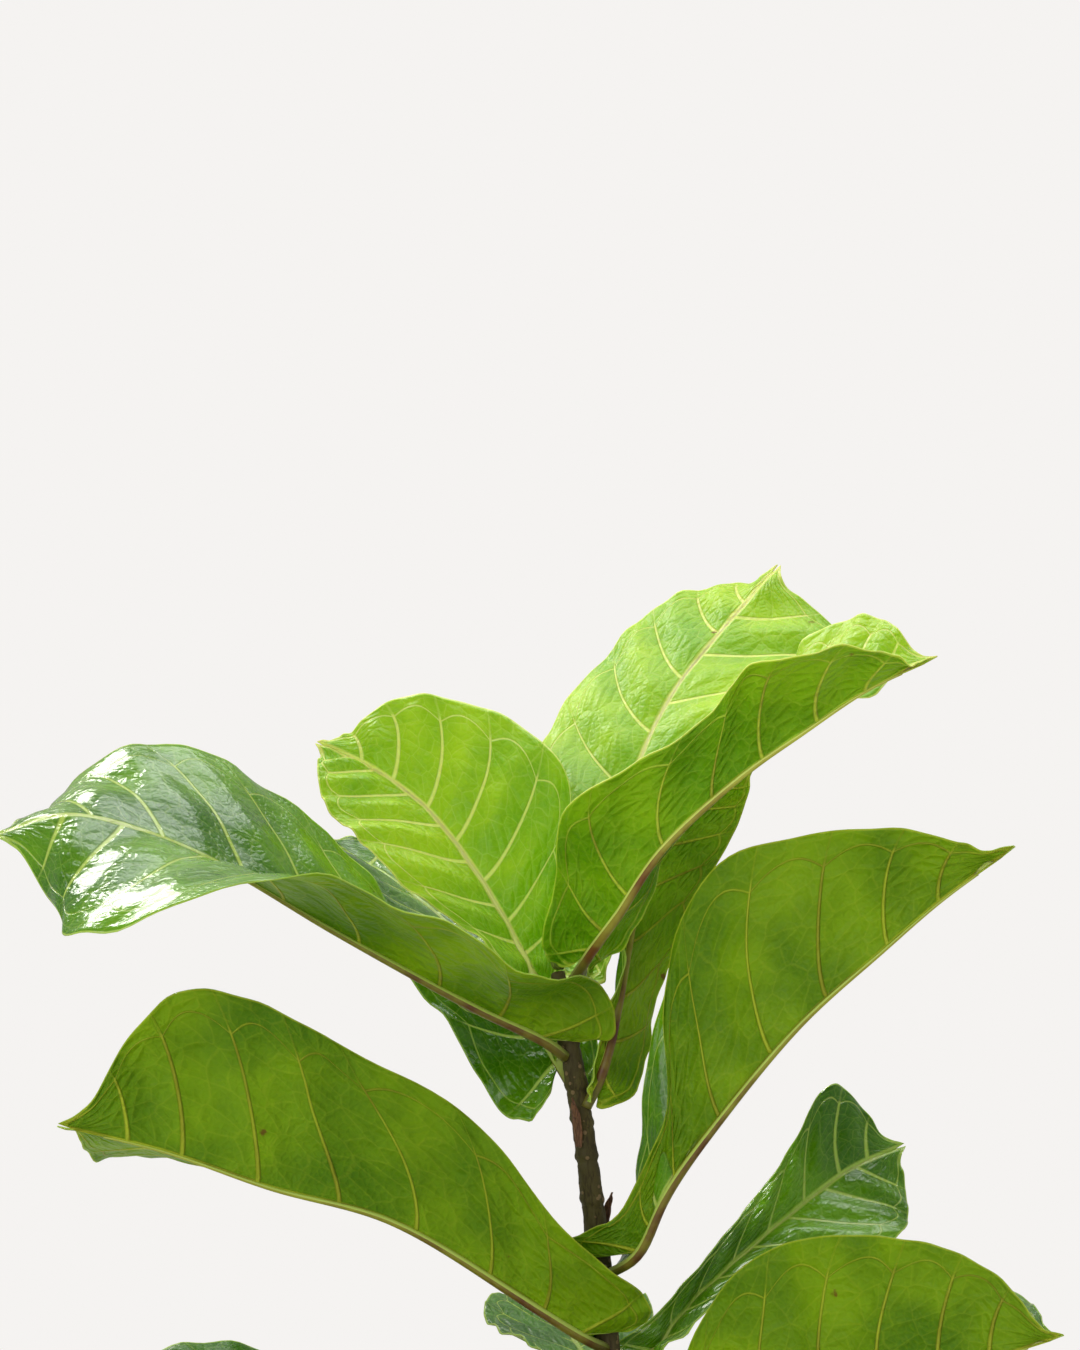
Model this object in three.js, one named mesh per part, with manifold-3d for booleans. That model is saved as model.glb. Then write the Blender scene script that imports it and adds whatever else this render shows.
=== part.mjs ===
// A young fiddle leaf fig grown as a small tree in a plain round clay pot.
// Millimetres, +Z up. The origin is the centre of the pot's flat underside, and the front is -Y.
//
// Each leaf is one closed solid: a thin folded blade with its petiole and midrib. A leaf is
// described by the curve of its midrib and, for each half of the blade, how far the half is
// lifted out of flat and how wide it is against the common outline.

import * as THREE from 'three';
import { mergeVertices } from 'three/addons/utils/BufferGeometryUtils.js';
import Module from 'manifold-3d';

const wasm = await Module();
wasm.setup();

// ---- driving dimensions --------------------------------------------------------------

const GAP = 0.3;                // clear space between pieces that touch
const FINEST_DETAIL = 0.03;     // edges shorter than this are merged away after a cut

const POT_SIDES = 36;
const POT_HEIGHT = 110;
const POT_BASE_RADIUS = 72;
const POT_RIM_RADIUS = 98;
const POT_WALL = 6;
const POT_FLOOR = 8;
const LIP_HEIGHT = 16;
const LIP_OVERHANG = 3;
const EDGE_ROUND = 2;
const HOLE_RADIUS = 6;
const HOLE_CIRCLE = 35;
const HOLE_COUNT = 3;

const SOIL_TOP = 91;            // height of the soil at the pot wall
const SOIL_MOUND = 5;           // how much higher it lies round the trunk

const STEM_SIDES = 10;
const STEM_STEPS = 22;
const STEM_PATH = [
  [3, 0, 66], [3, 1, 96], [1, 1, 135], [-1, 0, 180], [-4, 0, 230], [-7, 0, 270], [-12, 0, 317],
  [-16, 0, 347], [-21, 0, 377], [-25, 0, 402],
];
// Radius of the trunk at even steps from its buried foot to its growing tip.
const STEM_RADII = [9, 14, 8.5, 7.2, 6.6, 6.1, 5.7, 5.3, 5, 4.8, 4.6, 4.5, 4.2, 3.2];
const ROOTS = [
  { turn: 0.35, length: 34, drop: 17 },
  { turn: 1.75, length: 27, drop: 15 },
  { turn: 3.05, length: 36, drop: 18 },
  { turn: 4.2, length: 28, drop: 15 },
  { turn: 5.35, length: 31, drop: 16 },
];
const ROOT_RADIUS = 5.5;
const ROOT_TIP_RADIUS = 2;
const ROOT_START = 103;

const BUD_LENGTH = 14;
const BUD_RADIUS = 2.7;

const BLADE_THICKNESS = 0.9;
const BLADE_ROWS = 16;
const BLADE_COLUMNS = 3;        // on each side of the midrib
const PETIOLE_RADIUS = 2.3;
const MIDRIB_TIP_RADIUS = 0.9;
const MIDRIB_REACH = 0.5;       // share of the blade that the raised midrib runs along
const MIDRIB_SIDES = 6;
const MIDRIB_STEPS = 8;
const RIB_SWEEP = 1.2;          // above 1, side ribs leave the midrib pointing outwards

// Half of a fiddle-shaped blade, from the petiole round the ear and the waist to the tip, in
// blade lengths: how far along the midrib, how far out, and where on the midrib its rib starts.
const HALF_OUTLINE = [
  [0, 0.012, 0], [-0.055, 0.05, 0.003], [-0.08, 0.105, 0.008], [-0.045, 0.15, 0.02],
  [0.06, 0.165, 0.06], [0.19, 0.185, 0.14], [0.34, 0.24, 0.25], [0.5, 0.28, 0.39],
  [0.66, 0.31, 0.54], [0.8, 0.295, 0.69], [0.9, 0.23, 0.82], [0.962, 0.12, 0.91],
  [0.992, 0.035, 0.96], [1.03, 0.004, 1],
];

// The leaves, from the top of the plant down. spine: the petiole from the stem, then the midrib
// from the second point to the tip. Left and right are as seen from the petiole along the blade.
// Each list holds values at even steps: lift in degrees, reach in shares of the common width.
// ripple: height of the waves along the margin in mm, number of waves, and their start.
const LEAVES = {
  leaf_top_right: {
    spine: [[-19, -6, 398], [-12, -14, 409], [-2, -26, 424], [15, -42, 449], [45, -62, 476],
      [67, -76, 491], [92, -88, 507], [112, -95, 516]],
    left: { lift: [7, 10, 20, 34, 44, 50, 50], reach: [0.5, 0.45, 0.45, 0.55, 0.85, 1, 1] },
    right: {
      lift: [50, 45, 42, 42, 36, 26, 20],
      reach: [0.4, 0.4, 0.5, 0.64, 0.82, 0.98, 0.66, 0.48, 0.74, 0.7, 0.5, 0.6, 1],
    },
    width: 1.05, ripple: [2.5, 4.5, 2.2],
  },
  leaf_top_back: {
    spine: [[-20, 3, 393], [-12, 18, 409], [-4, 45, 440], [6, 75, 480], [24, 105, 520], [48, 132, 552],
      [70, 152, 578]],
    left: { lift: [15], reach: [0.2, 0.22, 0.6, 0.7, 0.62, 0.7, 0.9] },
    right: {
      lift: [15, 10, 0, -25, -35],
      reach: [0.3, 0.3, 0.3, 0.35, 0.4, 0.5, 0.7, 0.95, 1.15, 1.15, 1, 0.9, 0.8],
    },
    roll: [-5], width: 1.05, ripple: [3, 3, 0],
  },
  leaf_top_front: {
    spine: [[-23, 2, 380], [-35, 11, 401], [-47, 19, 424], [-62, 30, 448], [-80, 44, 470],
      [-103, 58, 487], [-122, 68, 496]],
    left: { lift: [20], reach: [0.3, 0.35, 0.6, 0.85, 0.74, 0.7, 1] },
    right: { lift: [10], reach: [0.15, 0.17, 0.2, 0.5, 0.9, 1.15, 1.4, 1.2, 1, 0.88, 0.6, 0.8, 1] },
    roll: [-45, -55], width: 1, ripple: [2, 4, 0],
  },
  leaf_upper_left: {
    spine: [[-22, -3, 368], [-30, -11, 374], [-70, -36, 395], [-112, -58, 418], [-150, -72, 440],
      [-182, -80, 454], [-210, -84, 460], [-232, -84, 454]],
    left: {
      lift: [46, 19, 20, 14, 3, -17, -40, -50],
      reach: [0.7, 0.72, 0.75, 0.82, 0.95, 0.92, 0.6, 0.85, 1.1, 1.2, 1.35, 1.3, 1],
    },
    right: { lift: [10, 18, 32, 40, 40, 35, 25, 5], reach: [0.7, 0.7, 0.8, 1, 1, 1, 1] },
    width: 1, ripple: [3, 4.2, 0.5],
  },
  leaf_upper_back: {
    spine: [[-18, 3, 354], [-24, 12, 364], [-40, 40, 390], [-60, 70, 412], [-80, 95, 430],
      [-102, 118, 446], [-124, 136, 458]],
    left: { lift: [-40, -8, 12, 15, 10], reach: [1] },
    right: { lift: [20], reach: [0.4, 0.4, 0.7, 1, 1, 1, 1] },
    width: 1, ripple: [2, 3, 1],
  },
  leaf_upper_right: {
    spine: [[-14, -3, 348], [-8, -1, 360], [-2, 4, 385], [4, 10, 415], [10, 12, 438], [22, 16, 458],
      [38, 19, 474], [52, 21, 484]],
    left: { lift: [0], reach: [0.35, 0.35, 0.9, 0.62, 0.5, 0.5, 1] },
    right: { lift: [-30], reach: [0.3, 0.3, 0.2, 0.2, 0.25, 0.4, 1] },
    roll: [-90, -105], width: 0.95, ripple: [2, 3, 0],
  },
  leaf_middle_right: {
    spine: [[-7, -4, 282], [6, -15, 291], [17, -25, 316], [38, -38, 346], [68, -54, 382],
      [98, -66, 409], [120, -74, 428], [142, -80, 444]],
    left: { lift: [60, 80, 80, 70, 50, 30], reach: [0.3, 0.3, 0.5, 1, 0.8, 0.6, 1] },
    right: {
      lift: [62, 80, 85, 80, 75, 60],
      reach: [1, 1.05, 1, 0.6, 0.36, 0.42, 0.88, 1, 0.8, 0.64, 0.56, 0.6, 1],
    },
    width: 1, ripple: [2, 3, 0],
  },
  leaf_middle_left: {
    spine: [[-6, -3, 254], [-15, -14, 259], [-40, -30, 277], [-89, -52, 307], [-134, -66, 320],
      [-174, -75, 334], [-206, -82, 342]],
    left: {
      lift: [55, 74, 78, 76, 76, 76, 70],
      curl: [6, 0, 0, 0, -10, -20],
      reach: [0.85, 0.85, 0.85, 0.8, 0.76, 0.8, 0.85, 0.88, 0.97, 1.15, 1.35, 1.4, 1],
    },
    right: { lift: [34, 20, 10, 0, -15], reach: [0.7, 0.7, 0.9, 1, 1, 1, 1] },
    width: 1, ripple: [2, 4, 1],
  },
  leaf_lower_right: {
    spine: [[-3, 4, 238], [12, 12, 250], [28, 30, 268], [50, 52, 286], [74, 72, 304], [98, 88, 320],
      [118, 98, 328]],
    left: { lift: [70], reach: [0.6, 0.6, 0.3, 0.25, 0.42, 1.1, 1] },
    right: { lift: [20, 0, -30, -50], reach: [0.6, 0.6, 0.6, 0.7, 0.75, 0.8, 1] },
    width: 1.1, ripple: [2, 3, 0],
  },
  leaf_lower_back: {
    spine: [[-4, 4, 226], [-7, 15, 232], [-12, 50, 242], [-18, 90, 249], [-22, 125, 254],
      [-24, 150, 254]],
    left: { lift: [15], reach: [1] },
    right: { lift: [15], reach: [1] },
    width: 0.85, ripple: [3, 3, 0],
  },
  leaf_bottom_right: {
    spine: [[1, -4, 190], [12, -14, 197], [46, -40, 216], [79, -62, 232], [108, -80, 247],
      [134, -94, 258], [155, -104, 266]],
    left: { lift: [30], reach: [0.8, 0.8, 1, 1, 1, 1, 1] },
    right: { lift: [78], reach: [1, 1, 0.95, 1.3, 0.97, 0.9, 1] },
    width: 1.05, ripple: [3, 3.5, 0],
  },
  leaf_bottom_left: {
    spine: [[-4, -1, 178], [-16, -4, 184], [-60, -16, 200], [-100, -28, 212], [-140, -38, 222],
      [-175, -44, 226], [-205, -48, 222]],
    left: { lift: [32], reach: [1] },
    right: { lift: [30], reach: [1] },
    width: 0.95, ripple: [3, 4, 2],
  },
  leaf_bottom_back: {
    spine: [[2, 4, 160], [10, 14, 165], [36, 48, 180], [62, 84, 190], [84, 118, 192], [100, 144, 186]],
    left: { lift: [22], reach: [1] },
    right: { lift: [24], reach: [1] },
    width: 0.95, ripple: [3, 4, 1],
  },
  leaf_bottom_front: {
    spine: [[-1, -5, 142], [-6, -16, 146], [-24, -54, 160], [-40, -92, 168], [-54, -126, 168],
      [-64, -150, 160]],
    left: { lift: [24], reach: [1] },
    right: { lift: [22], reach: [1] },
    width: 0.95, ripple: [3, 4, 0],
  },
};

// Dried scales that the leaf buds left behind: where on the stem, which way they face, length.
const STIPULES = [
  { height: 333, turn: -0.5, length: 20 },
  { height: 300, turn: 2.4, length: 15 },
  { height: 262, turn: 1.9, length: 17 },
  { height: 205, turn: -2.2, length: 16 },
];
const STIPULE_WIDTH = 5;
const STIPULE_THICKNESS = 0.8;
const STIPULE_FLARE = 0.28;     // how far a scale leans away from the stem, in radians

const FINISHES = {
  clay: { color: 0xb4694a, roughness: 0.85, metalness: 0 },
  soil: { color: 0x2e2118, roughness: 1, metalness: 0 },
  bark: { color: 0x38301a, roughness: 0.7, metalness: 0 },
  leaf: { color: 0x6a9410, roughness: 0.4, metalness: 0 },
  youngLeaf: { color: 0xa4cc3c, roughness: 0.35, metalness: 0 },
  bud: { color: 0x6b7a2e, roughness: 0.5, metalness: 0 },
  stipule: { color: 0x6b4426, roughness: 0.9, metalness: 0 },
};

// ---- small tools ---------------------------------------------------------------------

function indexedGeometry(points, triangles) {
  const geometry = new THREE.BufferGeometry();
  const flat = points.flatMap((point) => [point.x, point.y, point.z]);
  geometry.setAttribute('position', new THREE.Float32BufferAttribute(flat, 3));
  geometry.setIndex(triangles);
  return geometry;
}

function toSolid(geometry) {
  const bare = geometry.clone();
  bare.deleteAttribute('normal');
  bare.deleteAttribute('uv');
  const merged = mergeVertices(bare, 1e-4);
  return new wasm.Manifold(new wasm.Mesh({
    numProp: 3,
    vertProperties: Float32Array.from(merged.attributes.position.array),
    triVerts: Uint32Array.from(merged.index.array),
  }));
}

function toGeometry(solid) {
  const { vertProperties, triVerts } = solid.simplify(FINEST_DETAIL).getMesh();
  const geometry = new THREE.BufferGeometry();
  geometry.setAttribute('position', new THREE.Float32BufferAttribute(vertProperties, 3));
  geometry.setIndex(Array.from(triVerts));
  return geometry;
}

function named(name, geometry, finish) {
  geometry.computeVertexNormals();
  const mesh = new THREE.Mesh(geometry, new THREE.MeshStandardMaterial(FINISHES[finish]));
  mesh.name = name;
  return mesh;
}

function curveThrough(points) {
  return new THREE.CatmullRomCurve3(points.map((point) => new THREE.Vector3(...point)));
}

// A smooth value from a list of values held at even steps between 0 and 1.
function valueAt(values, share) {
  const last = values.length - 1;
  if (last === 0) return values[0];
  const place = THREE.MathUtils.clamp(share, 0, 1) * last;
  const step = Math.min(Math.floor(place), last - 1);
  const t = place - step;
  const b = values[step];
  const c = values[step + 1];
  const a = step > 0 ? values[step - 1] : 2 * b - c;
  const d = step + 2 <= last ? values[step + 2] : 2 * c - b;
  return b + 0.5 * t * (c - a + t * (2 * a - 5 * b + 4 * c - d + t * (3 * (b - c) + d - a)));
}

// A closed tube round a list of centres, each with the two directions its ring is drawn on.
function ringTube(rings, sides) {
  const points = [];
  const triangles = [];
  rings.forEach(({ centre, across, up, radius }) => {
    for (let side = 0; side < sides; side += 1) {
      const angle = (side / sides) * 2 * Math.PI;
      points.push(centre.clone()
        .addScaledVector(across, Math.cos(angle) * radius)
        .addScaledVector(up, Math.sin(angle) * radius));
    }
  });
  for (let ring = 0; ring + 1 < rings.length; ring += 1) {
    for (let side = 0; side < sides; side += 1) {
      const a = ring * sides + side;
      const b = ring * sides + (side + 1) % sides;
      triangles.push(a, b, b + sides, a, b + sides, a + sides);
    }
  }
  const last = (rings.length - 1) * sides;
  for (let side = 1; side + 1 < sides; side += 1) {
    triangles.push(0, side + 1, side);
    triangles.push(last, last + side, last + side + 1);
  }
  return indexedGeometry(points, triangles);
}

function taperedTube(curve, radii, sides, steps, extra) {
  const frames = curve.computeFrenetFrames(steps, false);
  const rings = [];
  for (let step = 0; step <= steps; step += 1) {
    rings.push({
      centre: curve.getPointAt(step / steps),
      across: frames.normals[step],
      up: frames.binormals[step],
      radius: valueAt(radii, step / steps) + extra,
    });
  }
  return ringTube(rings, sides);
}

// ---- pot and soil --------------------------------------------------------------------

function potOuterRadius(height) {
  const slope = (POT_RIM_RADIUS - POT_BASE_RADIUS) / POT_HEIGHT;
  return POT_BASE_RADIUS + slope * height;
}

function lathed(profile) {
  const outline = profile.map(([radius, height]) => new THREE.Vector2(radius, height));
  return new THREE.LatheGeometry(outline, POT_SIDES).rotateX(Math.PI / 2);
}

function buildPot() {
  const lipBottom = POT_HEIGHT - LIP_HEIGHT;
  const lipRadius = POT_RIM_RADIUS + LIP_OVERHANG;
  const shell = toSolid(lathed([
    [0, 0],
    [POT_BASE_RADIUS - EDGE_ROUND, 0],
    [POT_BASE_RADIUS, EDGE_ROUND],
    [potOuterRadius(lipBottom) - 1, lipBottom - LIP_OVERHANG],
    [lipRadius - 1, lipBottom],
    [lipRadius, POT_HEIGHT - EDGE_ROUND],
    [lipRadius - EDGE_ROUND, POT_HEIGHT],
    [POT_RIM_RADIUS - POT_WALL + EDGE_ROUND, POT_HEIGHT],
    [POT_RIM_RADIUS - POT_WALL, POT_HEIGHT - EDGE_ROUND],
    [potOuterRadius(POT_FLOOR) - POT_WALL, POT_FLOOR],
    [0, POT_FLOOR],
  ]));
  let pot = shell;
  for (let hole = 0; hole < HOLE_COUNT; hole += 1) {
    const turn = (hole / HOLE_COUNT) * 2 * Math.PI + Math.PI / 2;
    const drill = new THREE.CylinderGeometry(HOLE_RADIUS, HOLE_RADIUS, 3 * POT_FLOOR, 16);
    drill.rotateX(Math.PI / 2);
    drill.translate(HOLE_CIRCLE * Math.cos(turn), HOLE_CIRCLE * Math.sin(turn), 0);
    pot = pot.subtract(toSolid(drill));
  }
  return toGeometry(pot);
}

function soilRadius(height) {
  return potOuterRadius(height) - POT_WALL - 2 * GAP;
}

function buildSoil() {
  const bottom = POT_FLOOR + GAP;
  const mound = toSolid(lathed([
    [0, bottom],
    [soilRadius(bottom), bottom],
    [soilRadius(SOIL_TOP), SOIL_TOP],
    [0.55 * soilRadius(SOIL_TOP), SOIL_TOP + 0.6 * SOIL_MOUND],
    [0, SOIL_TOP + SOIL_MOUND],
  ]));
  return toGeometry(mound.subtract(trunk(GAP)));
}

// ---- stem ----------------------------------------------------------------------------

const stemCurve = curveThrough(STEM_PATH);

function rootGeometry({ turn, length, drop }, extra) {
  const out = new THREE.Vector3(Math.cos(turn), Math.sin(turn), 0);
  const start = new THREE.Vector3(3, 1, ROOT_START);
  const knee = start.clone().addScaledVector(out, 0.45 * length).setZ(ROOT_START - 0.6 * drop);
  const end = start.clone().addScaledVector(out, length + extra).setZ(ROOT_START - drop - 6);
  const curve = new THREE.CatmullRomCurve3([start, knee, end]);
  return taperedTube(curve, [ROOT_RADIUS, ROOT_TIP_RADIUS], 8, 5, extra);
}

// Trunk and surface roots, grown by extra on every side.
function trunk(extra) {
  const path = STEM_PATH.map((point) => [...point]);
  path[0][2] -= extra;
  path[path.length - 1][2] += extra;
  let solid = toSolid(taperedTube(curveThrough(path), STEM_RADII, STEM_SIDES, STEM_STEPS, extra));
  ROOTS.forEach((root) => {
    solid = solid.add(toSolid(rootGeometry(root, extra)));
  });
  return solid;
}

function stemAt(height) {
  let low = 0;
  let high = 1;
  for (let step = 0; step < 20; step += 1) {
    const middle = (low + high) / 2;
    if (stemCurve.getPointAt(middle).z < height) low = middle;
    else high = middle;
  }
  return { centre: stemCurve.getPointAt(low), radius: valueAt(STEM_RADII, low) };
}

function buildBud() {
  const profile = [[0, 0], [0.75, 0], [1, 0.25], [0.85, 0.5], [0.5, 0.8], [0.12, 0.98], [0, 1]];
  const outline = profile.map(([r, h]) => new THREE.Vector2(r * BUD_RADIUS, h * BUD_LENGTH));
  const bud = new THREE.LatheGeometry(outline, 12).rotateX(Math.PI / 2);
  const top = stemCurve.getPointAt(1);
  const along = stemCurve.getTangentAt(1);
  const turn = new THREE.Quaternion().setFromUnitVectors(new THREE.Vector3(0, 0, 1), along);
  bud.applyQuaternion(turn);
  const lift = 2 * GAP;
  bud.translate(top.x + along.x * lift, top.y + along.y * lift, top.z + along.z * lift);
  return bud;
}

function buildStipule({ height, turn, length }) {
  const shape = new THREE.Shape();
  shape.moveTo(-0.3 * STIPULE_WIDTH, 0);
  shape.lineTo(0.3 * STIPULE_WIDTH, 0);
  shape.quadraticCurveTo(0.7 * STIPULE_WIDTH, 0.35 * length, 0, length);
  shape.quadraticCurveTo(-0.7 * STIPULE_WIDTH, 0.35 * length, -0.3 * STIPULE_WIDTH, 0);
  const scale = new THREE.ExtrudeGeometry(shape, {
    depth: STIPULE_THICKNESS, bevelEnabled: false, curveSegments: 5,
  });
  const { centre, radius } = stemAt(height);
  scale.rotateX(Math.PI / 2 + STIPULE_FLARE);
  scale.translate(0, -(radius + 2 * GAP), 0);
  scale.rotateZ(turn);
  scale.translate(centre.x, centre.y, centre.z);
  return toGeometry(toSolid(scale).subtract(trunk(GAP)));
}

// ---- leaves --------------------------------------------------------------------------

const halfOutline = new THREE.CatmullRomCurve3(
  HALF_OUTLINE.map((point) => new THREE.Vector3(...point)),
);

// The midrib of one leaf: points, directions and local up and right along it.
function midribOf(leaf) {
  const curve = curveThrough(leaf.spine);
  const steps = 400;
  const lengths = curve.getLengths(steps);
  const total = lengths[steps];
  const petiole = lengths[Math.round(steps / (leaf.spine.length - 1))];
  const blade = total - petiole;
  const at = (along) => {
    const distance = petiole + along * blade;
    const held = THREE.MathUtils.clamp(distance, petiole, total);
    const ahead = curve.getTangentAt(held / total);
    const centre = curve.getPointAt(held / total).addScaledVector(ahead, distance - held);
    const plumb = new THREE.Vector3(0, 0, 1).addScaledVector(ahead, -ahead.z).normalize();
    const level = new THREE.Vector3().crossVectors(ahead, plumb);
    const roll = THREE.MathUtils.degToRad(valueAt(leaf.roll ?? [0], along));
    const up = plumb.clone().multiplyScalar(Math.cos(roll)).addScaledVector(level, Math.sin(roll));
    const right = level.clone().multiplyScalar(Math.cos(roll))
      .addScaledVector(plumb, -Math.sin(roll));
    return { centre, up, right };
  };
  return { curve, petiole, blade, total, at };
}

// One point of the blade's middle surface. row runs along the outline from 0 to 1, and across
// runs from -1 at the left margin through 0 on the midrib to 1 at the right margin.
function bladePoint(leaf, midrib, row, across) {
  const side = across < 0 ? -1 : 1;
  const half = across < 0 ? leaf.left : leaf.right;
  const share = Math.abs(across);
  const edge = halfOutline.getPoint(row);
  const along = edge.z + (edge.x - edge.z) * share ** RIB_SWEEP;
  const width = edge.y * leaf.width * valueAt(half.reach, row) * midrib.blade;
  const out = width * share;
  const { centre, up, right } = midrib.at(along);
  const lift = THREE.MathUtils.degToRad(valueAt(half.lift, along));
  const curl = THREE.MathUtils.degToRad(valueAt(half.curl ?? [0], along)) || 1e-3;
  const bend = curl / (leaf.width * midrib.blade / 3);
  const angle = lift + bend * out;
  const sideways = (Math.sin(angle) - Math.sin(lift)) / bend;
  const upwards = (Math.cos(lift) - Math.cos(angle)) / bend;
  const normal = up.clone().multiplyScalar(Math.cos(angle))
    .addScaledVector(right, -side * Math.sin(angle));
  const [height, waves, start] = leaf.ripple;
  const fade = Math.min(1, 6 * row, 8 * (1 - row));
  const phase = 2 * Math.PI * waves * row + start + (side < 0 ? 0 : 1.7);
  const ripple = height * share ** 2 * Math.sin(phase) * fade;
  const point = centre.clone()
    .addScaledVector(right, side * sideways)
    .addScaledVector(up, upwards)
    .addScaledVector(normal, ripple);
  return { point, normal };
}

function bladeGeometry(leaf, midrib) {
  const columns = 2 * BLADE_COLUMNS + 1;
  const upper = [];
  const under = [];
  for (let row = 0; row <= BLADE_ROWS; row += 1) {
    for (let column = 0; column < columns; column += 1) {
      const across = column / BLADE_COLUMNS - 1;
      const { point, normal } = bladePoint(leaf, midrib, row / BLADE_ROWS, across);
      if (column === BLADE_COLUMNS) {
        normal.add(bladePoint(leaf, midrib, row / BLADE_ROWS, -1e-6).normal).normalize();
      }
      upper.push(point.clone().addScaledVector(normal, BLADE_THICKNESS / 2));
      under.push(point.clone().addScaledVector(normal, -BLADE_THICKNESS / 2));
    }
  }
  const count = upper.length;
  const triangles = [];
  const quad = (a, b, c, d) => triangles.push(a, b, c, a, c, d);
  for (let row = 0; row < BLADE_ROWS; row += 1) {
    for (let column = 0; column + 1 < columns; column += 1) {
      const a = row * columns + column;
      quad(a, a + 1, a + 1 + columns, a + columns);
      quad(count + a, count + a + columns, count + a + 1 + columns, count + a + 1);
    }
    const left = row * columns;
    const right = left + columns - 1;
    quad(left, left + columns, count + left + columns, count + left);
    quad(right, count + right, count + right + columns, right + columns);
  }
  for (let column = 0; column + 1 < columns; column += 1) {
    const last = BLADE_ROWS * columns + column;
    quad(column, count + column, count + column + 1, column + 1);
    quad(last, last + 1, count + last + 1, count + last);
  }
  return indexedGeometry([...upper, ...under], triangles);
}

function midribGeometry(midrib) {
  const rings = [];
  const reach = (midrib.petiole + MIDRIB_REACH * midrib.blade) / midrib.total;
  for (let step = 0; step <= MIDRIB_STEPS; step += 1) {
    const share = step / MIDRIB_STEPS;
    const along = (share * reach * midrib.total - midrib.petiole) / midrib.blade;
    const { up, right } = midrib.at(Math.max(along, 0));
    rings.push({
      centre: midrib.curve.getPointAt(share * reach),
      across: right,
      up,
      radius: PETIOLE_RADIUS + (MIDRIB_TIP_RADIUS - PETIOLE_RADIUS) * share ** 0.7,
    });
  }
  return ringTube(rings, MIDRIB_SIDES);
}

function outward(geometry) {
  const solid = toSolid(geometry);
  if (solid.volume() > 0) return solid;
  const index = geometry.index.array;
  const turned = [];
  for (let i = 0; i < index.length; i += 3) turned.push(index[i], index[i + 2], index[i + 1]);
  return toSolid(geometry.clone().setIndex(turned));
}

function buildLeaf(leaf, grownTrunk) {
  const midrib = midribOf(leaf);
  const blade = outward(bladeGeometry(leaf, midrib));
  const rib = outward(midribGeometry(midrib));
  return toGeometry(blade.add(rib).subtract(grownTrunk));
}

// ---- assembly ------------------------------------------------------------------------

const plant = new THREE.Group();
plant.add(named('pot', buildPot(), 'clay'));
plant.add(named('soil', buildSoil(), 'soil'));
plant.add(named('stem', toGeometry(trunk(0)), 'bark'));
plant.add(named('terminal_bud', buildBud(), 'bud'));
STIPULES.forEach((stipule, index) => {
  plant.add(named(`stipule_${index + 1}`, buildStipule(stipule), 'stipule'));
});
const grownTrunk = trunk(GAP);
Object.entries(LEAVES).forEach(([name, leaf]) => {
  const finish = name.startsWith('leaf_top') ? 'youngLeaf' : 'leaf';
  plant.add(named(name, buildLeaf(leaf, grownTrunk), finish));
});

export default plant;
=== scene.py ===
"""A young fiddle leaf fig in a round clay pot: finished leaves, stem, soil and pot."""

import logging
import math
from dataclasses import dataclass, field
from enum import Enum

import bpy
import numpy as np
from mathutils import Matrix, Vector


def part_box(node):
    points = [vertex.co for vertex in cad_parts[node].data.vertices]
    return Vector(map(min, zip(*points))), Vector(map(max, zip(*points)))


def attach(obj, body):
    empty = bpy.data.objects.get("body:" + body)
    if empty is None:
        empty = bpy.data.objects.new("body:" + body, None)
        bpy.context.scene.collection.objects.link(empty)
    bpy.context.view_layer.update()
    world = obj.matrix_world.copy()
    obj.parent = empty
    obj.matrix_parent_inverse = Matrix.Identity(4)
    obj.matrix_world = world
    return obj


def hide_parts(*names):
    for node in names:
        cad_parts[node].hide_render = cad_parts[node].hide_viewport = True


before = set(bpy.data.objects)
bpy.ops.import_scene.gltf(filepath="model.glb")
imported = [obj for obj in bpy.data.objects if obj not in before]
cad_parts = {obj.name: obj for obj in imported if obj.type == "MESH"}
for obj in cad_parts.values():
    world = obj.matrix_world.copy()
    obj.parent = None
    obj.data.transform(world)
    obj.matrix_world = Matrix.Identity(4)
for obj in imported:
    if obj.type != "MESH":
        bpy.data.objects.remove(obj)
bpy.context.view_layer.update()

log = logging.getLogger("fiddle_leaf_fig")

MM = 0.001
BODY = "root"
GOLDEN_TURN = 2.4               # radians from one leaf scar to the next round the stem
Points = np.ndarray
Socket = bpy.types.NodeSocket
Colour = tuple[float, float, float, float]


def paint(red: int, green: int, blue: int) -> Colour:
    """Turns a display colour into the linear colour that shaders use.

    Args:
        red: Display red, 0 to 255.
        green: Display green, 0 to 255.
        blue: Display blue, 0 to 255.

    Returns:
        The linear colour with an alpha of 1.
    """
    def one(value: int) -> float:
        share = value / 255
        return share / 12.92 if share <= 0.04045 else ((share + 0.055) / 1.055) ** 2.4
    return (one(red), one(green), one(blue), 1.0)


# ---- curves and stations -------------------------------------------------------------


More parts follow.
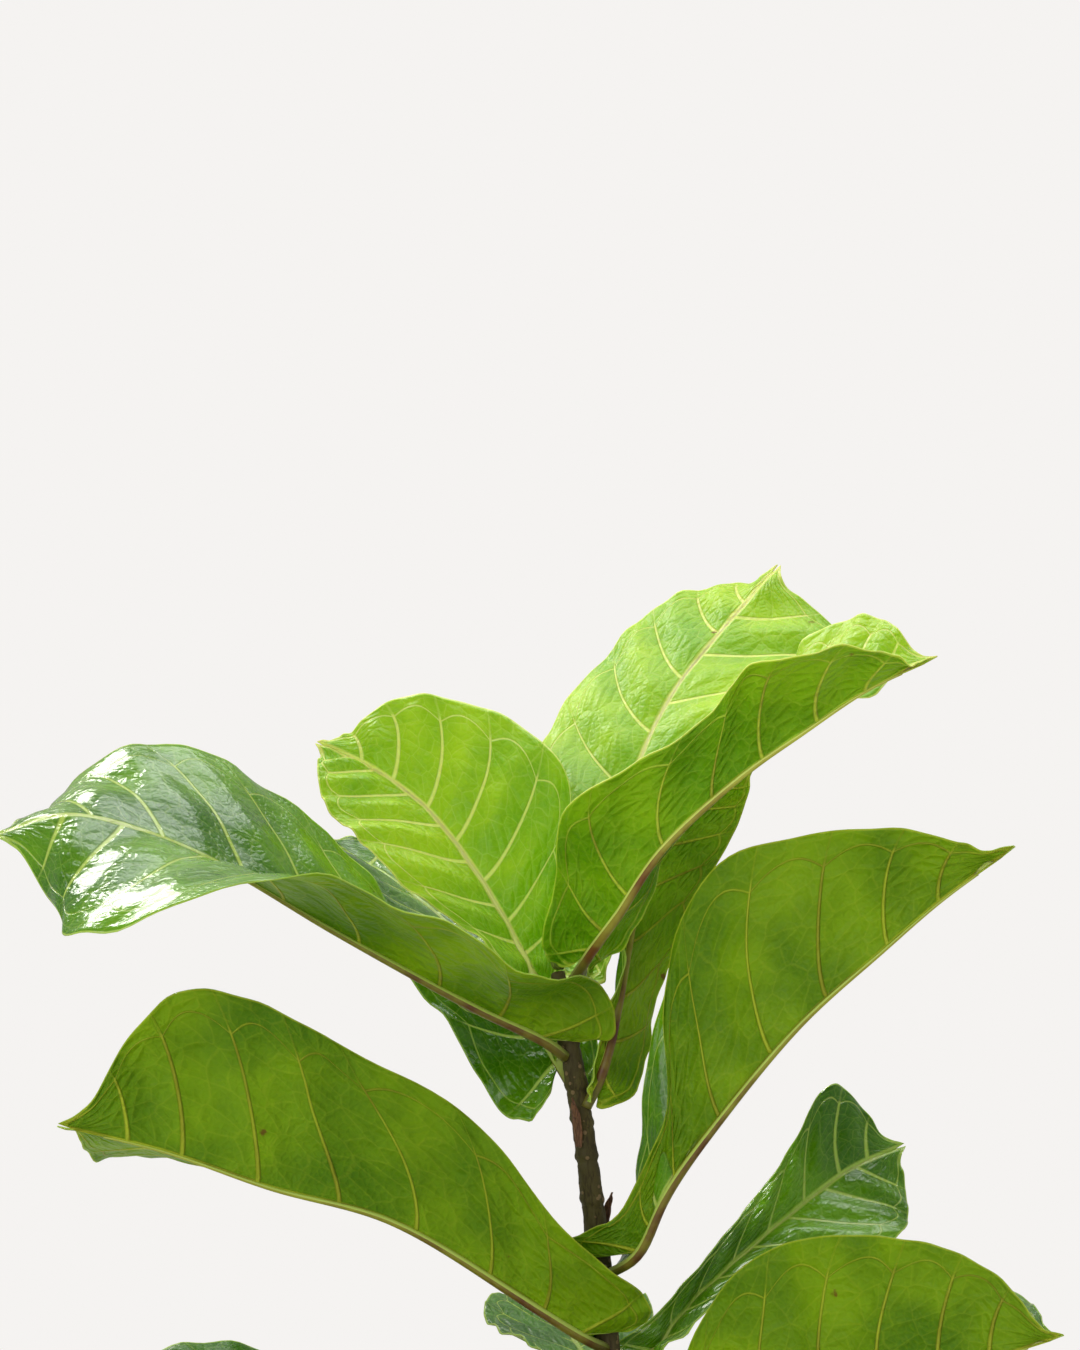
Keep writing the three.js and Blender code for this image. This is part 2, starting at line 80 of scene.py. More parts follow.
class Spline:
    """A centripetal Catmull-Rom curve through its points."""

    def __init__(self, points: list[tuple[float, ...]]) -> None:
        """Keeps the points and one more beyond each end.

        Args:
            points: The points that the curve passes through.
        """
        core = np.array(points, float)
        first, last = 2 * core[0] - core[1], 2 * core[-1] - core[-2]
        self.spans = len(core) - 1
        self.points = np.vstack([first, core, last])

    def at(self, share: Points) -> Points:
        """Finds points on the curve.

        Args:
            share: Places on the curve, 0 to 1, where each span is equally long.

        Returns:
            The points, with one more axis than share.
        """
        place = np.clip(share, 0, 1) * self.spans
        span = np.clip(np.floor(place).astype(int), 0, self.spans - 1)
        t = (place - span)[..., None]
        a, b, c, d = (self.points[span + step] for step in range(4))

        def knot(p: Points, q: Points) -> Points:
            return np.maximum(np.sum((p - q) ** 2, -1, keepdims=True) ** 0.25, 1e-4)

        ab, bc, cd = knot(a, b), knot(b, c), knot(c, d)
        leave = ((b - a) / ab - (c - a) / (ab + bc) + (c - b) / bc) * bc
        arrive = ((c - b) / bc - (d - b) / (bc + cd) + (d - c) / cd) * bc
        square = 3 * (c - b) - 2 * leave - arrive
        cube = 2 * (b - c) + leave + arrive
        return b + t * (leave + t * (square + t * cube))


def value_at(values: tuple[float, ...], share: Points) -> Points:
    """Reads a smooth value from values held at even steps.

    Args:
        values: The values from 0 to 1.
        share: Where to read them.

    Returns:
        The value at each place.
    """
    core = np.array(values, float)
    if len(core) == 1:
        return np.full(np.shape(share), core[0])
    padded = np.concatenate([[2 * core[0] - core[1]], core, [2 * core[-1] - core[-2]]])
    place = np.clip(share, 0, 1) * (len(core) - 1)
    step = np.clip(np.floor(place).astype(int), 0, len(core) - 2)
    t = place - step
    a, b, c, d = (padded[step + k] for k in range(4))
    return b + 0.5 * t * (c - a + t * (2 * a - 5 * b + 4 * c - d + t * (3 * (b - c) + d - a)))


def unit(vectors: Points) -> Points:
    """Gives vectors a length of one."""
    return vectors / np.maximum(np.linalg.norm(vectors, axis=-1, keepdims=True), 1e-12)


def turn_about_z(angle: float) -> Points:
    """Gives the matrix that turns places about the Z axis by an angle in radians."""
    return np.array([[math.cos(angle), -math.sin(angle), 0],
                     [math.sin(angle), math.cos(angle), 0], [0, 0, 1]])


# ---- node trees ----------------------------------------------------------------------


class Sheet:
    """Adds and links nodes in one node tree."""

    def __init__(self, tree: bpy.types.NodeTree) -> None:
        """Keeps the tree that the nodes go into."""
        self.tree = tree

    def add(self, kind: str, **settings: object) -> bpy.types.Node:
        """Adds one node.

        Args:
            kind: The node's type name.
            settings: Values for the node's own settings.

        Returns:
            The new node.
        """
        node = self.tree.nodes.new(kind)
        for name, value in settings.items():
            setattr(node, name, value)
        return node

    def feed(self, socket: Socket, value: object) -> None:
        """Links a socket to another, or sets its value."""
        if isinstance(value, bpy.types.NodeSocket):
            self.tree.links.new(value, socket)
        else:
            socket.default_value = value

    def math(self, operation: str, *values: object, clamp: bool = False) -> Socket:
        """Adds a math node and returns its result."""
        node = self.add("ShaderNodeMath", operation=operation, use_clamp=clamp)
        for index, value in enumerate(values):
            self.feed(node.inputs[index], value)
        return node.outputs[0]

    def blend(self, share: object, under: object, over: object) -> Socket:
        """Mixes two colours and returns the result.

        Args:
            share: How much of the second colour shows.
            under: The first colour.
            over: The second colour.

        Returns:
            The mixed colour.
        """
        node = self.add("ShaderNodeMix", data_type="RGBA")
        self.feed(node.inputs["Factor"], share)
        self.feed(node.inputs["A"], under)
        self.feed(node.inputs["B"], over)
        return node.outputs["Result"]

    def fade(self, value: object, start: object, end: object, low: float = 0.0,
             high: float = 1.0) -> Socket:
        """Turns a range of values into a soft step.

        Args:
            value: The value to read.
            start: Where the step begins.
            end: Where the step is complete.
            low: The result before the step.
            high: The result after it.

        Returns:
            The stepped value.
        """
        node = self.add("ShaderNodeMapRange", interpolation_type="SMOOTHSTEP")
        for index, entry in enumerate((value, start, end, low, high)):
            self.feed(node.inputs[index], entry)
        return node.outputs[0]

    def noise(self, vector: Socket, scale: float, detail: float = 3.0,
              roughness: float = 0.5) -> Socket:
        """Adds a noise texture and returns its value."""
        node = self.add("ShaderNodeTexNoise")
        self.feed(node.inputs["Vector"], vector)
        node.inputs["Scale"].default_value = scale
        node.inputs["Detail"].default_value = detail
        node.inputs["Roughness"].default_value = roughness
        return node.outputs["Fac"]

    def net(self, vector: Socket, scale: float) -> Socket:
        """Adds a cell texture and returns the distance to the nearest cell wall."""
        node = self.add("ShaderNodeTexVoronoi", feature="DISTANCE_TO_EDGE",
                        voronoi_dimensions="2D")
        self.feed(node.inputs["Vector"], vector)
        node.inputs["Scale"].default_value = scale
        return node.outputs["Distance"]

    def place(self) -> Socket:
        """Returns the place in the object, in metres."""
        return self.add("ShaderNodeTexCoord").outputs["Object"]

    def bump(self, height: Socket, strength: float, distance: float) -> Socket:
        """Turns a height in shares of distance into a normal."""
        node = self.add("ShaderNodeBump")
        node.inputs["Strength"].default_value = strength
        node.inputs["Distance"].default_value = distance
        self.feed(node.inputs["Height"], height)
        return node.outputs["Normal"]


def new_group(name: str, inputs: dict[str, float], outputs: dict[str, str]) -> Sheet:
    """Starts a shader node group.

    Args:
        name: The group's name.
        inputs: The name and first value of each number it takes.
        outputs: The name and socket type of each result.

    Returns:
        The sheet of the new group, whose tree has its input and output nodes.
    """
    tree = bpy.data.node_groups.new(name, "ShaderNodeTree")
    for label, value in inputs.items():
        socket = tree.interface.new_socket(label, in_out="INPUT", socket_type="NodeSocketFloat")
        socket.default_value = value
    for label, kind in outputs.items():
        tree.interface.new_socket(label, in_out="OUTPUT", socket_type=kind)
    tree.nodes.new("NodeGroupInput")
    tree.nodes.new("NodeGroupOutput")
    return Sheet(tree)


VALUE = "NodeSocketFloat"

# The vein pattern, in shares of the way from the midrib to the margin.
VEIN_TAPER = 0.55
LOOP_PLACE = 0.77
LOOP_BULGE = 0.1
LOOP_FADE = 0.06
PAST_LOOP = 0.75                # how much of a side vein is lost beyond its loop
# Cells of the ladder veins for each side vein passed, and from the midrib to the margin.
LADDER_CELLS = (2.6, 8.0)
LADDER_WOBBLE = 0.7
NET_SCALE = 34.0


def vein_group() -> bpy.types.NodeTree:
    """Draws a leaf's midrib, side veins, loops, net and pale margin as masks.

    It reads the leaf's vein_map (which vein, share of the way to the margin), its blade_map
    (place on the flat blade), and the attributes vein_gap, reach and margin in millimetres.

    Returns:
        The node group.
    """
    sheet = new_group(
        "Leaf veins",
        {"Main Width": 1.1, "Side Width": 0.8, "Margin Width": 0.7},
        {"Main": VALUE, "Ladder": VALUE, "Net": VALUE, "Margin": VALUE, "Height": VALUE},
    )
    tree = sheet.tree
    given = tree.nodes["Group Input"].outputs
    vein = sheet.add("ShaderNodeSeparateXYZ")
    sheet.feed(vein.inputs[0], sheet.add("ShaderNodeUVMap", uv_map="vein_map").outputs[0])
    count, share = vein.outputs["X"], vein.outputs["Y"]

    def attribute(name: str) -> Socket:
        return sheet.add("ShaderNodeAttribute", attribute_name=name).outputs["Fac"]

    gap, reach, margin = attribute("vein_gap"), attribute("reach"), attribute("margin")
    between = sheet.math("FRACT", count)
    nearest = sheet.math("PINGPONG", count, 0.5)
    off_vein = sheet.math("MULTIPLY", nearest, gap)
    slim = sheet.math("MULTIPLY_ADD", share, -VEIN_TAPER, 1.0)
    side_width = sheet.math("MULTIPLY", given["Side Width"], slim)
    loop_line = sheet.math("MULTIPLY_ADD", sheet.math("SINE", sheet.math(
        "MULTIPLY", between, math.pi)), LOOP_BULGE, LOOP_PLACE)
    past_loop = sheet.fade(sheet.math("SUBTRACT", share, loop_line), 0.0, LOOP_FADE)
    side = sheet.fade(off_vein, sheet.math("MULTIPLY", side_width, 0.35), side_width, 1.0, 0.0)
    left_over = sheet.math("MULTIPLY_ADD", past_loop, -PAST_LOOP, 1.0)
    side = sheet.math("MULTIPLY", side, left_over)
    off_loop = sheet.math("MULTIPLY", sheet.math("ABSOLUTE", sheet.math(
        "SUBTRACT", share, loop_line)), reach)
    loop = sheet.fade(off_loop, 0.12, 0.5, 0.75, 0.0)
    off_midrib = sheet.math("MULTIPLY", share, reach)
    middle = sheet.fade(off_midrib, sheet.math("MULTIPLY", given["Main Width"], 0.45),
                        given["Main Width"], 1.0, 0.0)
    main = sheet.math("MAXIMUM", sheet.math("MAXIMUM", side, loop), middle)

    def cells(across: float, along: float, wobble: float) -> Socket:
        shift = sheet.math("MULTIPLY_ADD", sheet.noise(sheet.place(), 60.0, 1.0), wobble, 0.0)
        join = sheet.add("ShaderNodeCombineXYZ")
        sheet.feed(join.inputs[0], sheet.math("MULTIPLY_ADD", count, across, shift))
        sheet.feed(join.inputs[1], sheet.math("MULTIPLY_ADD", share, along, shift))
        return sheet.net(join.outputs[0], 1.0)

    ladder_line = cells(*LADDER_CELLS, LADDER_WOBBLE)
    ladder = sheet.fade(ladder_line, 0.012, 0.055, 1.0, 0.0)
    flat = sheet.add("ShaderNodeUVMap", uv_map="blade_map").outputs[0]
    fine_line = sheet.net(flat, NET_SCALE)
    fine = sheet.fade(fine_line, 0.02, 0.12, 1.0, 0.0)
    edge = sheet.fade(margin, sheet.math("MULTIPLY", given["Margin Width"], 0.5),
                      given["Margin Width"], 1.0, 0.0)
    swell = sheet.math("MULTIPLY", sheet.fade(ladder_line, 0.0, 0.4), 0.5)
    crumple = sheet.math("MULTIPLY_ADD", sheet.fade(fine_line, 0.0, 0.35), 0.13, swell)
    height = sheet.math("SUBTRACT", crumple, sheet.math("MULTIPLY", main, 0.8))
    results = tree.nodes["Group Output"].inputs
    for label, value in (("Main", main), ("Ladder", ladder), ("Net", fine), ("Margin", edge),
                         ("Height", height)):
        sheet.feed(results[label], value)
    return tree


def mottle_group() -> bpy.types.NodeTree:
    """Gives soft colour patches, fine speckle and rare dried spots as masks.

    Returns:
        The node group.
    """
    sheet = new_group(
        "Mottle",
        {"Patch Scale": 22.0, "Speckle Scale": 700.0, "Spot Scale": 26.0, "Spot Share": 0.06},
        {"Patches": VALUE, "Speckle": VALUE, "Spots": VALUE},
    )
    tree = sheet.tree
    given = tree.nodes["Group Input"].outputs
    place = sheet.place()

    def scaled(label: str, detail: float) -> Socket:
        node = sheet.add("ShaderNodeTexNoise")
        sheet.feed(node.inputs["Vector"], place)
        sheet.feed(node.inputs["Scale"], given[label])
        node.inputs["Detail"].default_value = detail
        return node.outputs["Fac"]

    spots = sheet.add("ShaderNodeTexVoronoi")
    sheet.feed(spots.inputs["Vector"], place)
    sheet.feed(spots.inputs["Scale"], given["Spot Scale"])
    ragged = sheet.math("MULTIPLY_ADD", scaled("Speckle Scale", 2.0), 0.08,
                        spots.outputs["Distance"])
    limit = given["Spot Share"]
    results = tree.nodes["Group Output"].inputs
    sheet.feed(results["Patches"], sheet.fade(scaled("Patch Scale", 3.0), 0.32, 0.68))
    sheet.feed(results["Speckle"], scaled("Speckle Scale", 4.0))
    sheet.feed(results["Spots"], sheet.fade(
        ragged, limit, sheet.math("MULTIPLY_ADD", limit, 1.25, 0.01), 1.0, 0.0))
    return tree


class Effect(Enum):
    """The effects that several materials share."""

    VEINS = "Leaf veins"
    MOTTLE = "Mottle"


def effect(sheet: Sheet, which: Effect, **values: float) -> bpy.types.NodeOutputs:
    """Places a shared effect in a material, built the first time it is asked for.

    Args:
        sheet: The material's sheet.
        which: The effect.
        values: Its inputs, with underscores for spaces.

    Returns:
        The effect's outputs.
    """
    makers = {Effect.VEINS: vein_group, Effect.MOTTLE: mottle_group}
    tree = bpy.data.node_groups.get(which.value) or makers[which]()
    node = sheet.add("ShaderNodeGroup", node_tree=tree)
    for name, value in values.items():
        node.inputs[name.replace("_", " ")].default_value = value
    return node.outputs


def new_material(name: str, constants: dict[str, object]) -> tuple[bpy.types.Material, Sheet,
                                                                   bpy.types.Node]:
    """Starts a material with one Principled shader.

    Args:
        name: The material's name.
        constants: Values for the shader's own sockets.

    Returns:
        The material, its sheet and its shader.
    """
    material = bpy.data.materials.new(name)
    material.use_nodes = True
    sheet = Sheet(material.node_tree)
    shader = next(n for n in material.node_tree.nodes if n.type == "BSDF_PRINCIPLED")
    for label, value in constants.items():
        shader.inputs[label].default_value = value
    return material, sheet, shader


# ---- finishes ------------------------------------------------------------------------


@dataclass(frozen=True)
class LeafTone:
    """The colours of one age of leaf."""

    upper_light: Colour
    upper_dark: Colour
    upper_vein: Colour
    under_light: Colour
    under_dark: Colour
    under_vein: Colour
    rib_stain: Colour
    glow: float
    gloss: float
    polish: float


class LeafAge(Enum):
    """How old a leaf is, which sets its colours."""

    YOUNG = LeafTone(
        upper_light=paint(172, 210, 16), upper_dark=paint(122, 178, 2),
        upper_vein=paint(230, 240, 128), under_light=paint(140, 182, 12),
        under_dark=paint(96, 148, 2), under_vein=paint(200, 212, 72),
        rib_stain=paint(120, 70, 26), glow=0.75, gloss=0.44, polish=0.0,
    )
    MATURE = LeafTone(
        upper_light=paint(112, 166, 8), upper_dark=paint(62, 116, 2),
        upper_vein=paint(190, 214, 96), under_light=paint(128, 166, 6),
        under_dark=paint(80, 124, 1), under_vein=paint(176, 188, 48),
        rib_stain=paint(96, 46, 18), glow=0.6, gloss=0.2, polish=0.3,
    )
    OLD = LeafTone(
        upper_light=paint(82, 138, 16), upper_dark=paint(40, 90, 4),
        upper_vein=paint(172, 196, 84), under_light=paint(116, 150, 16),
        under_dark=paint(74, 108, 4), under_vein=paint(166, 174, 56),
        rib_stain=paint(84, 42, 18), glow=0.5, gloss=0.38, polish=0.06,
    )


class LeafFinish:
    """The four materials of one age of leaf: upper, under, and the rib's two sides."""

    # How strongly each marking shows over the blade's own colour.
    SPECKLE_SHOWS = 0.22
    NET_SHOWS = 0.05
    LADDER_SHOWS = 0.13
    VEINS_SHOW = 0.85
    MARGIN_SHOWS = 0.7
    SPOTS_SHOW = 0.8
    UNDER_ROUGHNESS = 0.5
    COAT_ROUGHNESS = 0.1
    UPPER_SHINE = 0.26
    UNDER_SHINE = 0.18
    UPPER_BUMP = 0.6
    UNDER_BUMP = 0.95
    BUMP_DEPTH = 1.2 * MM

    def __init__(self, age: LeafAge) -> None:
        """Builds the materials."""
        self.tone = age.value
        name = age.name.lower()
        self.upper = self.face(f"{name}_leaf_upper", True)
        self.under = self.face(f"{name}_leaf_under", False)
        self.rib_upper = self.rib(f"{name}_rib_upper", True)
        self.rib_under = self.rib(f"{name}_rib_under", False)

    def all(self) -> list[bpy.types.Material]:
        """Returns the materials in the order of a leaf's slots."""
        return [self.upper, self.under, self.rib_upper, self.rib_under]

    def flesh(self) -> dict[str, object]:
        """Returns the constants that let light through a blade."""
        return {
            "Subsurface Weight": self.tone.glow,
            "Subsurface Radius": (0.7, 1.0, 0.28),
            "Subsurface Scale": 1.1 * MM,
            "IOR": 1.45,
        }

    def face(self, name: str, is_upper: bool) -> bpy.types.Material:
        """Makes the material of one side of the blade.

        Args:
            name: The material's name.
            is_upper: Whether it is the glossy upper side.

        Returns:
            The material.
        """
        tone = self.tone
        material, sheet, shader = new_material(name, self.flesh())
        veins = effect(sheet, Effect.VEINS, Main_Width=2.0 if is_upper else 1.4,
                       Side_Width=1.6 if is_upper else 1.35)
        mottle = effect(sheet, Effect.MOTTLE)
        light = tone.upper_light if is_upper else tone.under_light
        dark = tone.upper_dark if is_upper else tone.under_dark
        vein = tone.upper_vein if is_upper else tone.under_vein
        blade = sheet.blend(mottle["Patches"], dark, light)
        speckle = sheet.math("MULTIPLY", sheet.fade(mottle["Speckle"], 0.45, 0.75),
                             self.SPECKLE_SHOWS)
        blade = sheet.blend(speckle, blade, light)
        blade = sheet.blend(sheet.math("MULTIPLY", veins["Net"], self.NET_SHOWS), blade, vein)
        ladder = sheet.math("MULTIPLY", veins["Ladder"], self.LADDER_SHOWS)
        blade = sheet.blend(ladder, blade, vein)
        stained = vein
        if not is_upper:
            stain = sheet.fade(sheet.noise(sheet.place(), 34.0, 2.0), 0.4, 0.62, 0.0, 0.4)
            stained = sheet.blend(stain, vein, tone.rib_stain)
        main = sheet.math("MULTIPLY", veins["Main"], self.VEINS_SHOW)
        blade = sheet.blend(main, blade, stained)
        margin = sheet.math("MULTIPLY", veins["Margin"], self.MARGIN_SHOWS)
        blade = sheet.blend(margin, blade, vein)
        dry = paint(112, 66, 30)
        dried = sheet.math("MULTIPLY", mottle["Spots"], self.SPOTS_SHOW)
        colour = sheet.blend(dried, blade, dry)
        sheet.feed(shader.inputs["Base Color"], colour)
        gloss = tone.gloss if is_upper else self.UNDER_ROUGHNESS
        rough = sheet.fade(mottle["Speckle"], 0.3, 0.8, gloss - 0.03, gloss + 0.08)
        rough = sheet.math("MULTIPLY_ADD", mottle["Spots"], 0.3, rough)
        sheet.feed(shader.inputs["Roughness"], rough)
        shader.inputs["Coat Weight"].default_value = tone.polish if is_upper else 0.0
        shader.inputs["Coat Roughness"].default_value = self.COAT_ROUGHNESS
        shine = self.UPPER_SHINE if is_upper else self.UNDER_SHINE
        shader.inputs["Specular IOR Level"].default_value = shine
        height = veins["Height"]
        if not is_upper:
            height = sheet.math("MULTIPLY", height, -1.0)
        strength = self.UPPER_BUMP if is_upper else self.UNDER_BUMP
        sheet.feed(shader.inputs["Normal"], sheet.bump(height, strength, self.BUMP_DEPTH))
        return material

    def rib(self, name: str, is_upper: bool) -> bpy.types.Material:
        """Makes the material of one side of the petiole and midrib.

        Args:
            name: The material's name.
            is_upper: Whether it is the side on the upper face of the blade.

        Returns:
            The material.
        """
        tone = self.tone
        constants = {"Subsurface Weight": 0.2, "Subsurface Radius": (1.0, 0.8, 0.3),
                     "Subsurface Scale": 1.0 * MM}
        material, sheet, shader = new_material(name, constants)
        along = sheet.add("ShaderNodeAttribute", attribute_name="along").outputs["Fac"]
        mottle = effect(sheet, Effect.MOTTLE, Patch_Scale=70.0, Spot_Share=0.0)
        fresh = tone.upper_vein if is_upper else tone.under_vein
        reach = -0.02 if is_upper else 0.55
        stain = sheet.fade(along, reach - 0.45, reach + 0.2, 1.0, 0.1 if is_upper else 0.35)
        patchy = sheet.math("MULTIPLY", stain, sheet.math(
            "MULTIPLY_ADD", mottle["Patches"], 0.45, 0.6), clamp=True)
        colour = sheet.blend(patchy, fresh, tone.rib_stain)
        petiole = sheet.fade(along, -0.06, 0.01, 1.0, 0.0)
        colour = sheet.blend(sheet.math("MULTIPLY", petiole, 0.7), colour, paint(96, 96, 28))
        sheet.feed(shader.inputs["Base Color"], colour)
        sheet.feed(shader.inputs["Roughness"], sheet.fade(mottle["Speckle"], 0.3, 0.7, 0.38, 0.6))
        sheet.feed(shader.inputs["Normal"], sheet.bump(mottle["Speckle"], 0.3, 0.4 * MM))
        return material


@dataclass(frozen=True)
class BarkFinish:
    """Thin brown-green bark with pores, darker patches and fine lengthwise cracks."""

    name: str = "bark"
    young: Colour = field(default_factory=lambda: paint(84, 76, 30))
    old: Colour = field(default_factory=lambda: paint(88, 72, 54))
    dark: Colour = field(default_factory=lambda: paint(44, 34, 20))
    pore: Colour = field(default_factory=lambda: paint(150, 124, 88))

    def build(self) -> bpy.types.Material:
        """Makes the material."""
        material, sheet, shader = new_material(self.name, {"Specular IOR Level": 0.35})
        place = sheet.place()
        rise = sheet.add("ShaderNodeSeparateXYZ")
        sheet.feed(rise.inputs[0], place)
        mottle = effect(sheet, Effect.MOTTLE, Patch_Scale=55.0, Speckle_Scale=420.0,
                        Spot_Scale=260.0, Spot_Share=0.24)
        stretch = sheet.add("ShaderNodeMapping")
        sheet.feed(stretch.inputs["Vector"], place)
        stretch.inputs["Scale"].default_value = (1.0, 1.0, 0.22)
        fissure = sheet.noise(stretch.outputs[0], 620.0, 5.0, 0.65)
        crack = sheet.fade(fissure, 0.36, 0.5, 1.0, 0.0)
        age = sheet.fade(rise.outputs["Z"], 0.16, 0.34, 1.0, 0.0)
        ground = sheet.blend(age, self.young, self.old)
        ground = sheet.blend(sheet.math("MULTIPLY", mottle["Patches"], 0.55), ground, self.dark)
        ground = sheet.blend(sheet.math("MULTIPLY", crack, 0.6), ground, self.dark)
        colour = sheet.blend(sheet.math("MULTIPLY", mottle["Spots"], 0.55), ground, self.pore)
        sheet.feed(shader.inputs["Base Color"], colour)
        sheet.feed(shader.inputs["Roughness"], sheet.fade(fissure, 0.3, 0.7, 0.85, 0.55))
        height = sheet.math("MULTIPLY_ADD", mottle["Spots"], 0.5, fissure)
        sheet.feed(shader.inputs["Normal"], sheet.bump(height, 0.8, 0.7 * MM))
        return material


@dataclass(frozen=True)
class ClayFinish:
    """Fired clay with a pale bloom of salts and worn edges."""

    name: str = "fired_clay"
    body: Colour = field(default_factory=lambda: paint(186, 112, 78))
    deep: Colour = field(default_factory=lambda: paint(158, 84, 56))
    bloom: Colour = field(default_factory=lambda: paint(214, 170, 146))

    def build(self) -> bpy.types.Material:
        """Makes the material."""
        material, sheet, shader = new_material(self.name, {"Specular IOR Level": 0.25})
        place = sheet.place()
        rise = sheet.add("ShaderNodeSeparateXYZ")
        sheet.feed(rise.inputs[0], place)
        mottle = effect(sheet, Effect.MOTTLE, Patch_Scale=14.0, Speckle_Scale=900.0,
                        Spot_Scale=130.0, Spot_Share=0.16)
        wipe = sheet.add("ShaderNodeMapping")
        sheet.feed(wipe.inputs["Vector"], place)
        wipe.inputs["Scale"].default_value = (0.15, 0.15, 3.0)
        turning = sheet.noise(wipe.outputs[0], 160.0, 4.0, 0.6)
        colour = sheet.blend(mottle["Patches"], self.body, self.deep)
        colour = sheet.blend(sheet.fade(turning, 0.4, 0.75, 0.0, 0.35), colour, self.deep)
        damp = sheet.fade(rise.outputs["Z"], 0.0, 0.05, 1.0, 0.0)
        cloud = sheet.fade(sheet.noise(place, 30.0, 5.0, 0.6), 0.5, 0.68)
        bloom = sheet.math("MULTIPLY", cloud, sheet.math("MULTIPLY_ADD", damp, 0.5, 0.25))
        colour = sheet.blend(bloom, colour, self.bloom)
        colour = sheet.blend(sheet.math("MULTIPLY", mottle["Spots"], 0.35), colour, self.bloom)
        sheet.feed(shader.inputs["Base Color"], colour)
        sheet.feed(shader.inputs["Roughness"], sheet.fade(mottle["Speckle"], 0.3, 0.7, 0.78, 0.95))
        height = sheet.math("MULTIPLY_ADD", turning, 0.6, mottle["Speckle"])
        sheet.feed(shader.inputs["Normal"], sheet.bump(height, 0.5, 0.5 * MM))
        return material


@dataclass(frozen=True)
class EarthFinish:
    """Damp, dark potting soil."""

    name: str
    light: Colour
    dark: Colour
    grain: float = 260.0

    def build(self) -> bpy.types.Material:
        """Makes the material."""
        material, sheet, shader = new_material(self.name, {"Specular IOR Level": 0.3})
        place = sheet.place()
        mottle = effect(sheet, Effect.MOTTLE, Patch_Scale=45.0, Speckle_Scale=self.grain,
                        Spot_Scale=190.0, Spot_Share=0.14)
        colour = sheet.blend(mottle["Patches"], self.dark, self.light)
        grit = sheet.fade(mottle["Speckle"], 0.42, 0.62)
        colour = sheet.blend(sheet.math("MULTIPLY", grit, 0.55), colour, self.dark)
        pale = paint(128, 98, 70)
        colour = sheet.blend(sheet.math("MULTIPLY", mottle["Spots"], 0.5), colour, pale)
        sheet.feed(shader.inputs["Base Color"], colour)
        sheet.feed(shader.inputs["Roughness"], sheet.fade(mottle["Patches"], 0.0, 1.0, 0.7, 0.96))
        height = sheet.math("MULTIPLY_ADD", sheet.noise(place, 900.0, 3.0), 0.5,
                            mottle["Speckle"])
        sheet.feed(shader.inputs["Normal"], sheet.bump(height, 0.9, 1.4 * MM))
        return material


@dataclass(frozen=True)
class HuskFinish:
    """Papery brown scale or green bud sheath, streaked along its length."""

    name: str
    light: Colour
    dark: Colour
    rough: float = 0.75

    def build(self) -> bpy.types.Material:
        """Makes the material."""
        constants = {"Subsurface Weight": 0.3, "Subsurface Scale": 0.6 * MM,
                     "Subsurface Radius": (1.0, 0.6, 0.3)}
        material, sheet, shader = new_material(self.name, constants)
        stretch = sheet.add("ShaderNodeMapping")
        sheet.feed(stretch.inputs["Vector"], sheet.place())
        stretch.inputs["Scale"].default_value = (1.0, 1.0, 0.12)
        streak = sheet.noise(stretch.outputs[0], 1500.0, 4.0, 0.6)
        mottle = effect(sheet, Effect.MOTTLE, Patch_Scale=160.0, Spot_Share=0.05,
                        Spot_Scale=300.0)
        colour = sheet.blend(sheet.fade(streak, 0.35, 0.65), self.dark, self.light)
        colour = sheet.blend(sheet.math("MULTIPLY", mottle["Patches"], 0.4), colour, self.dark)
        sheet.feed(shader.inputs["Base Color"], colour)
        rough = sheet.fade(streak, 0.3, 0.7, self.rough + 0.1, self.rough - 0.1)
        sheet.feed(shader.inputs["Roughness"], rough)
        sheet.feed(shader.inputs["Normal"], sheet.bump(streak, 0.7, 0.4 * MM))
        return material


# ---- working with operators ----------------------------------------------------------


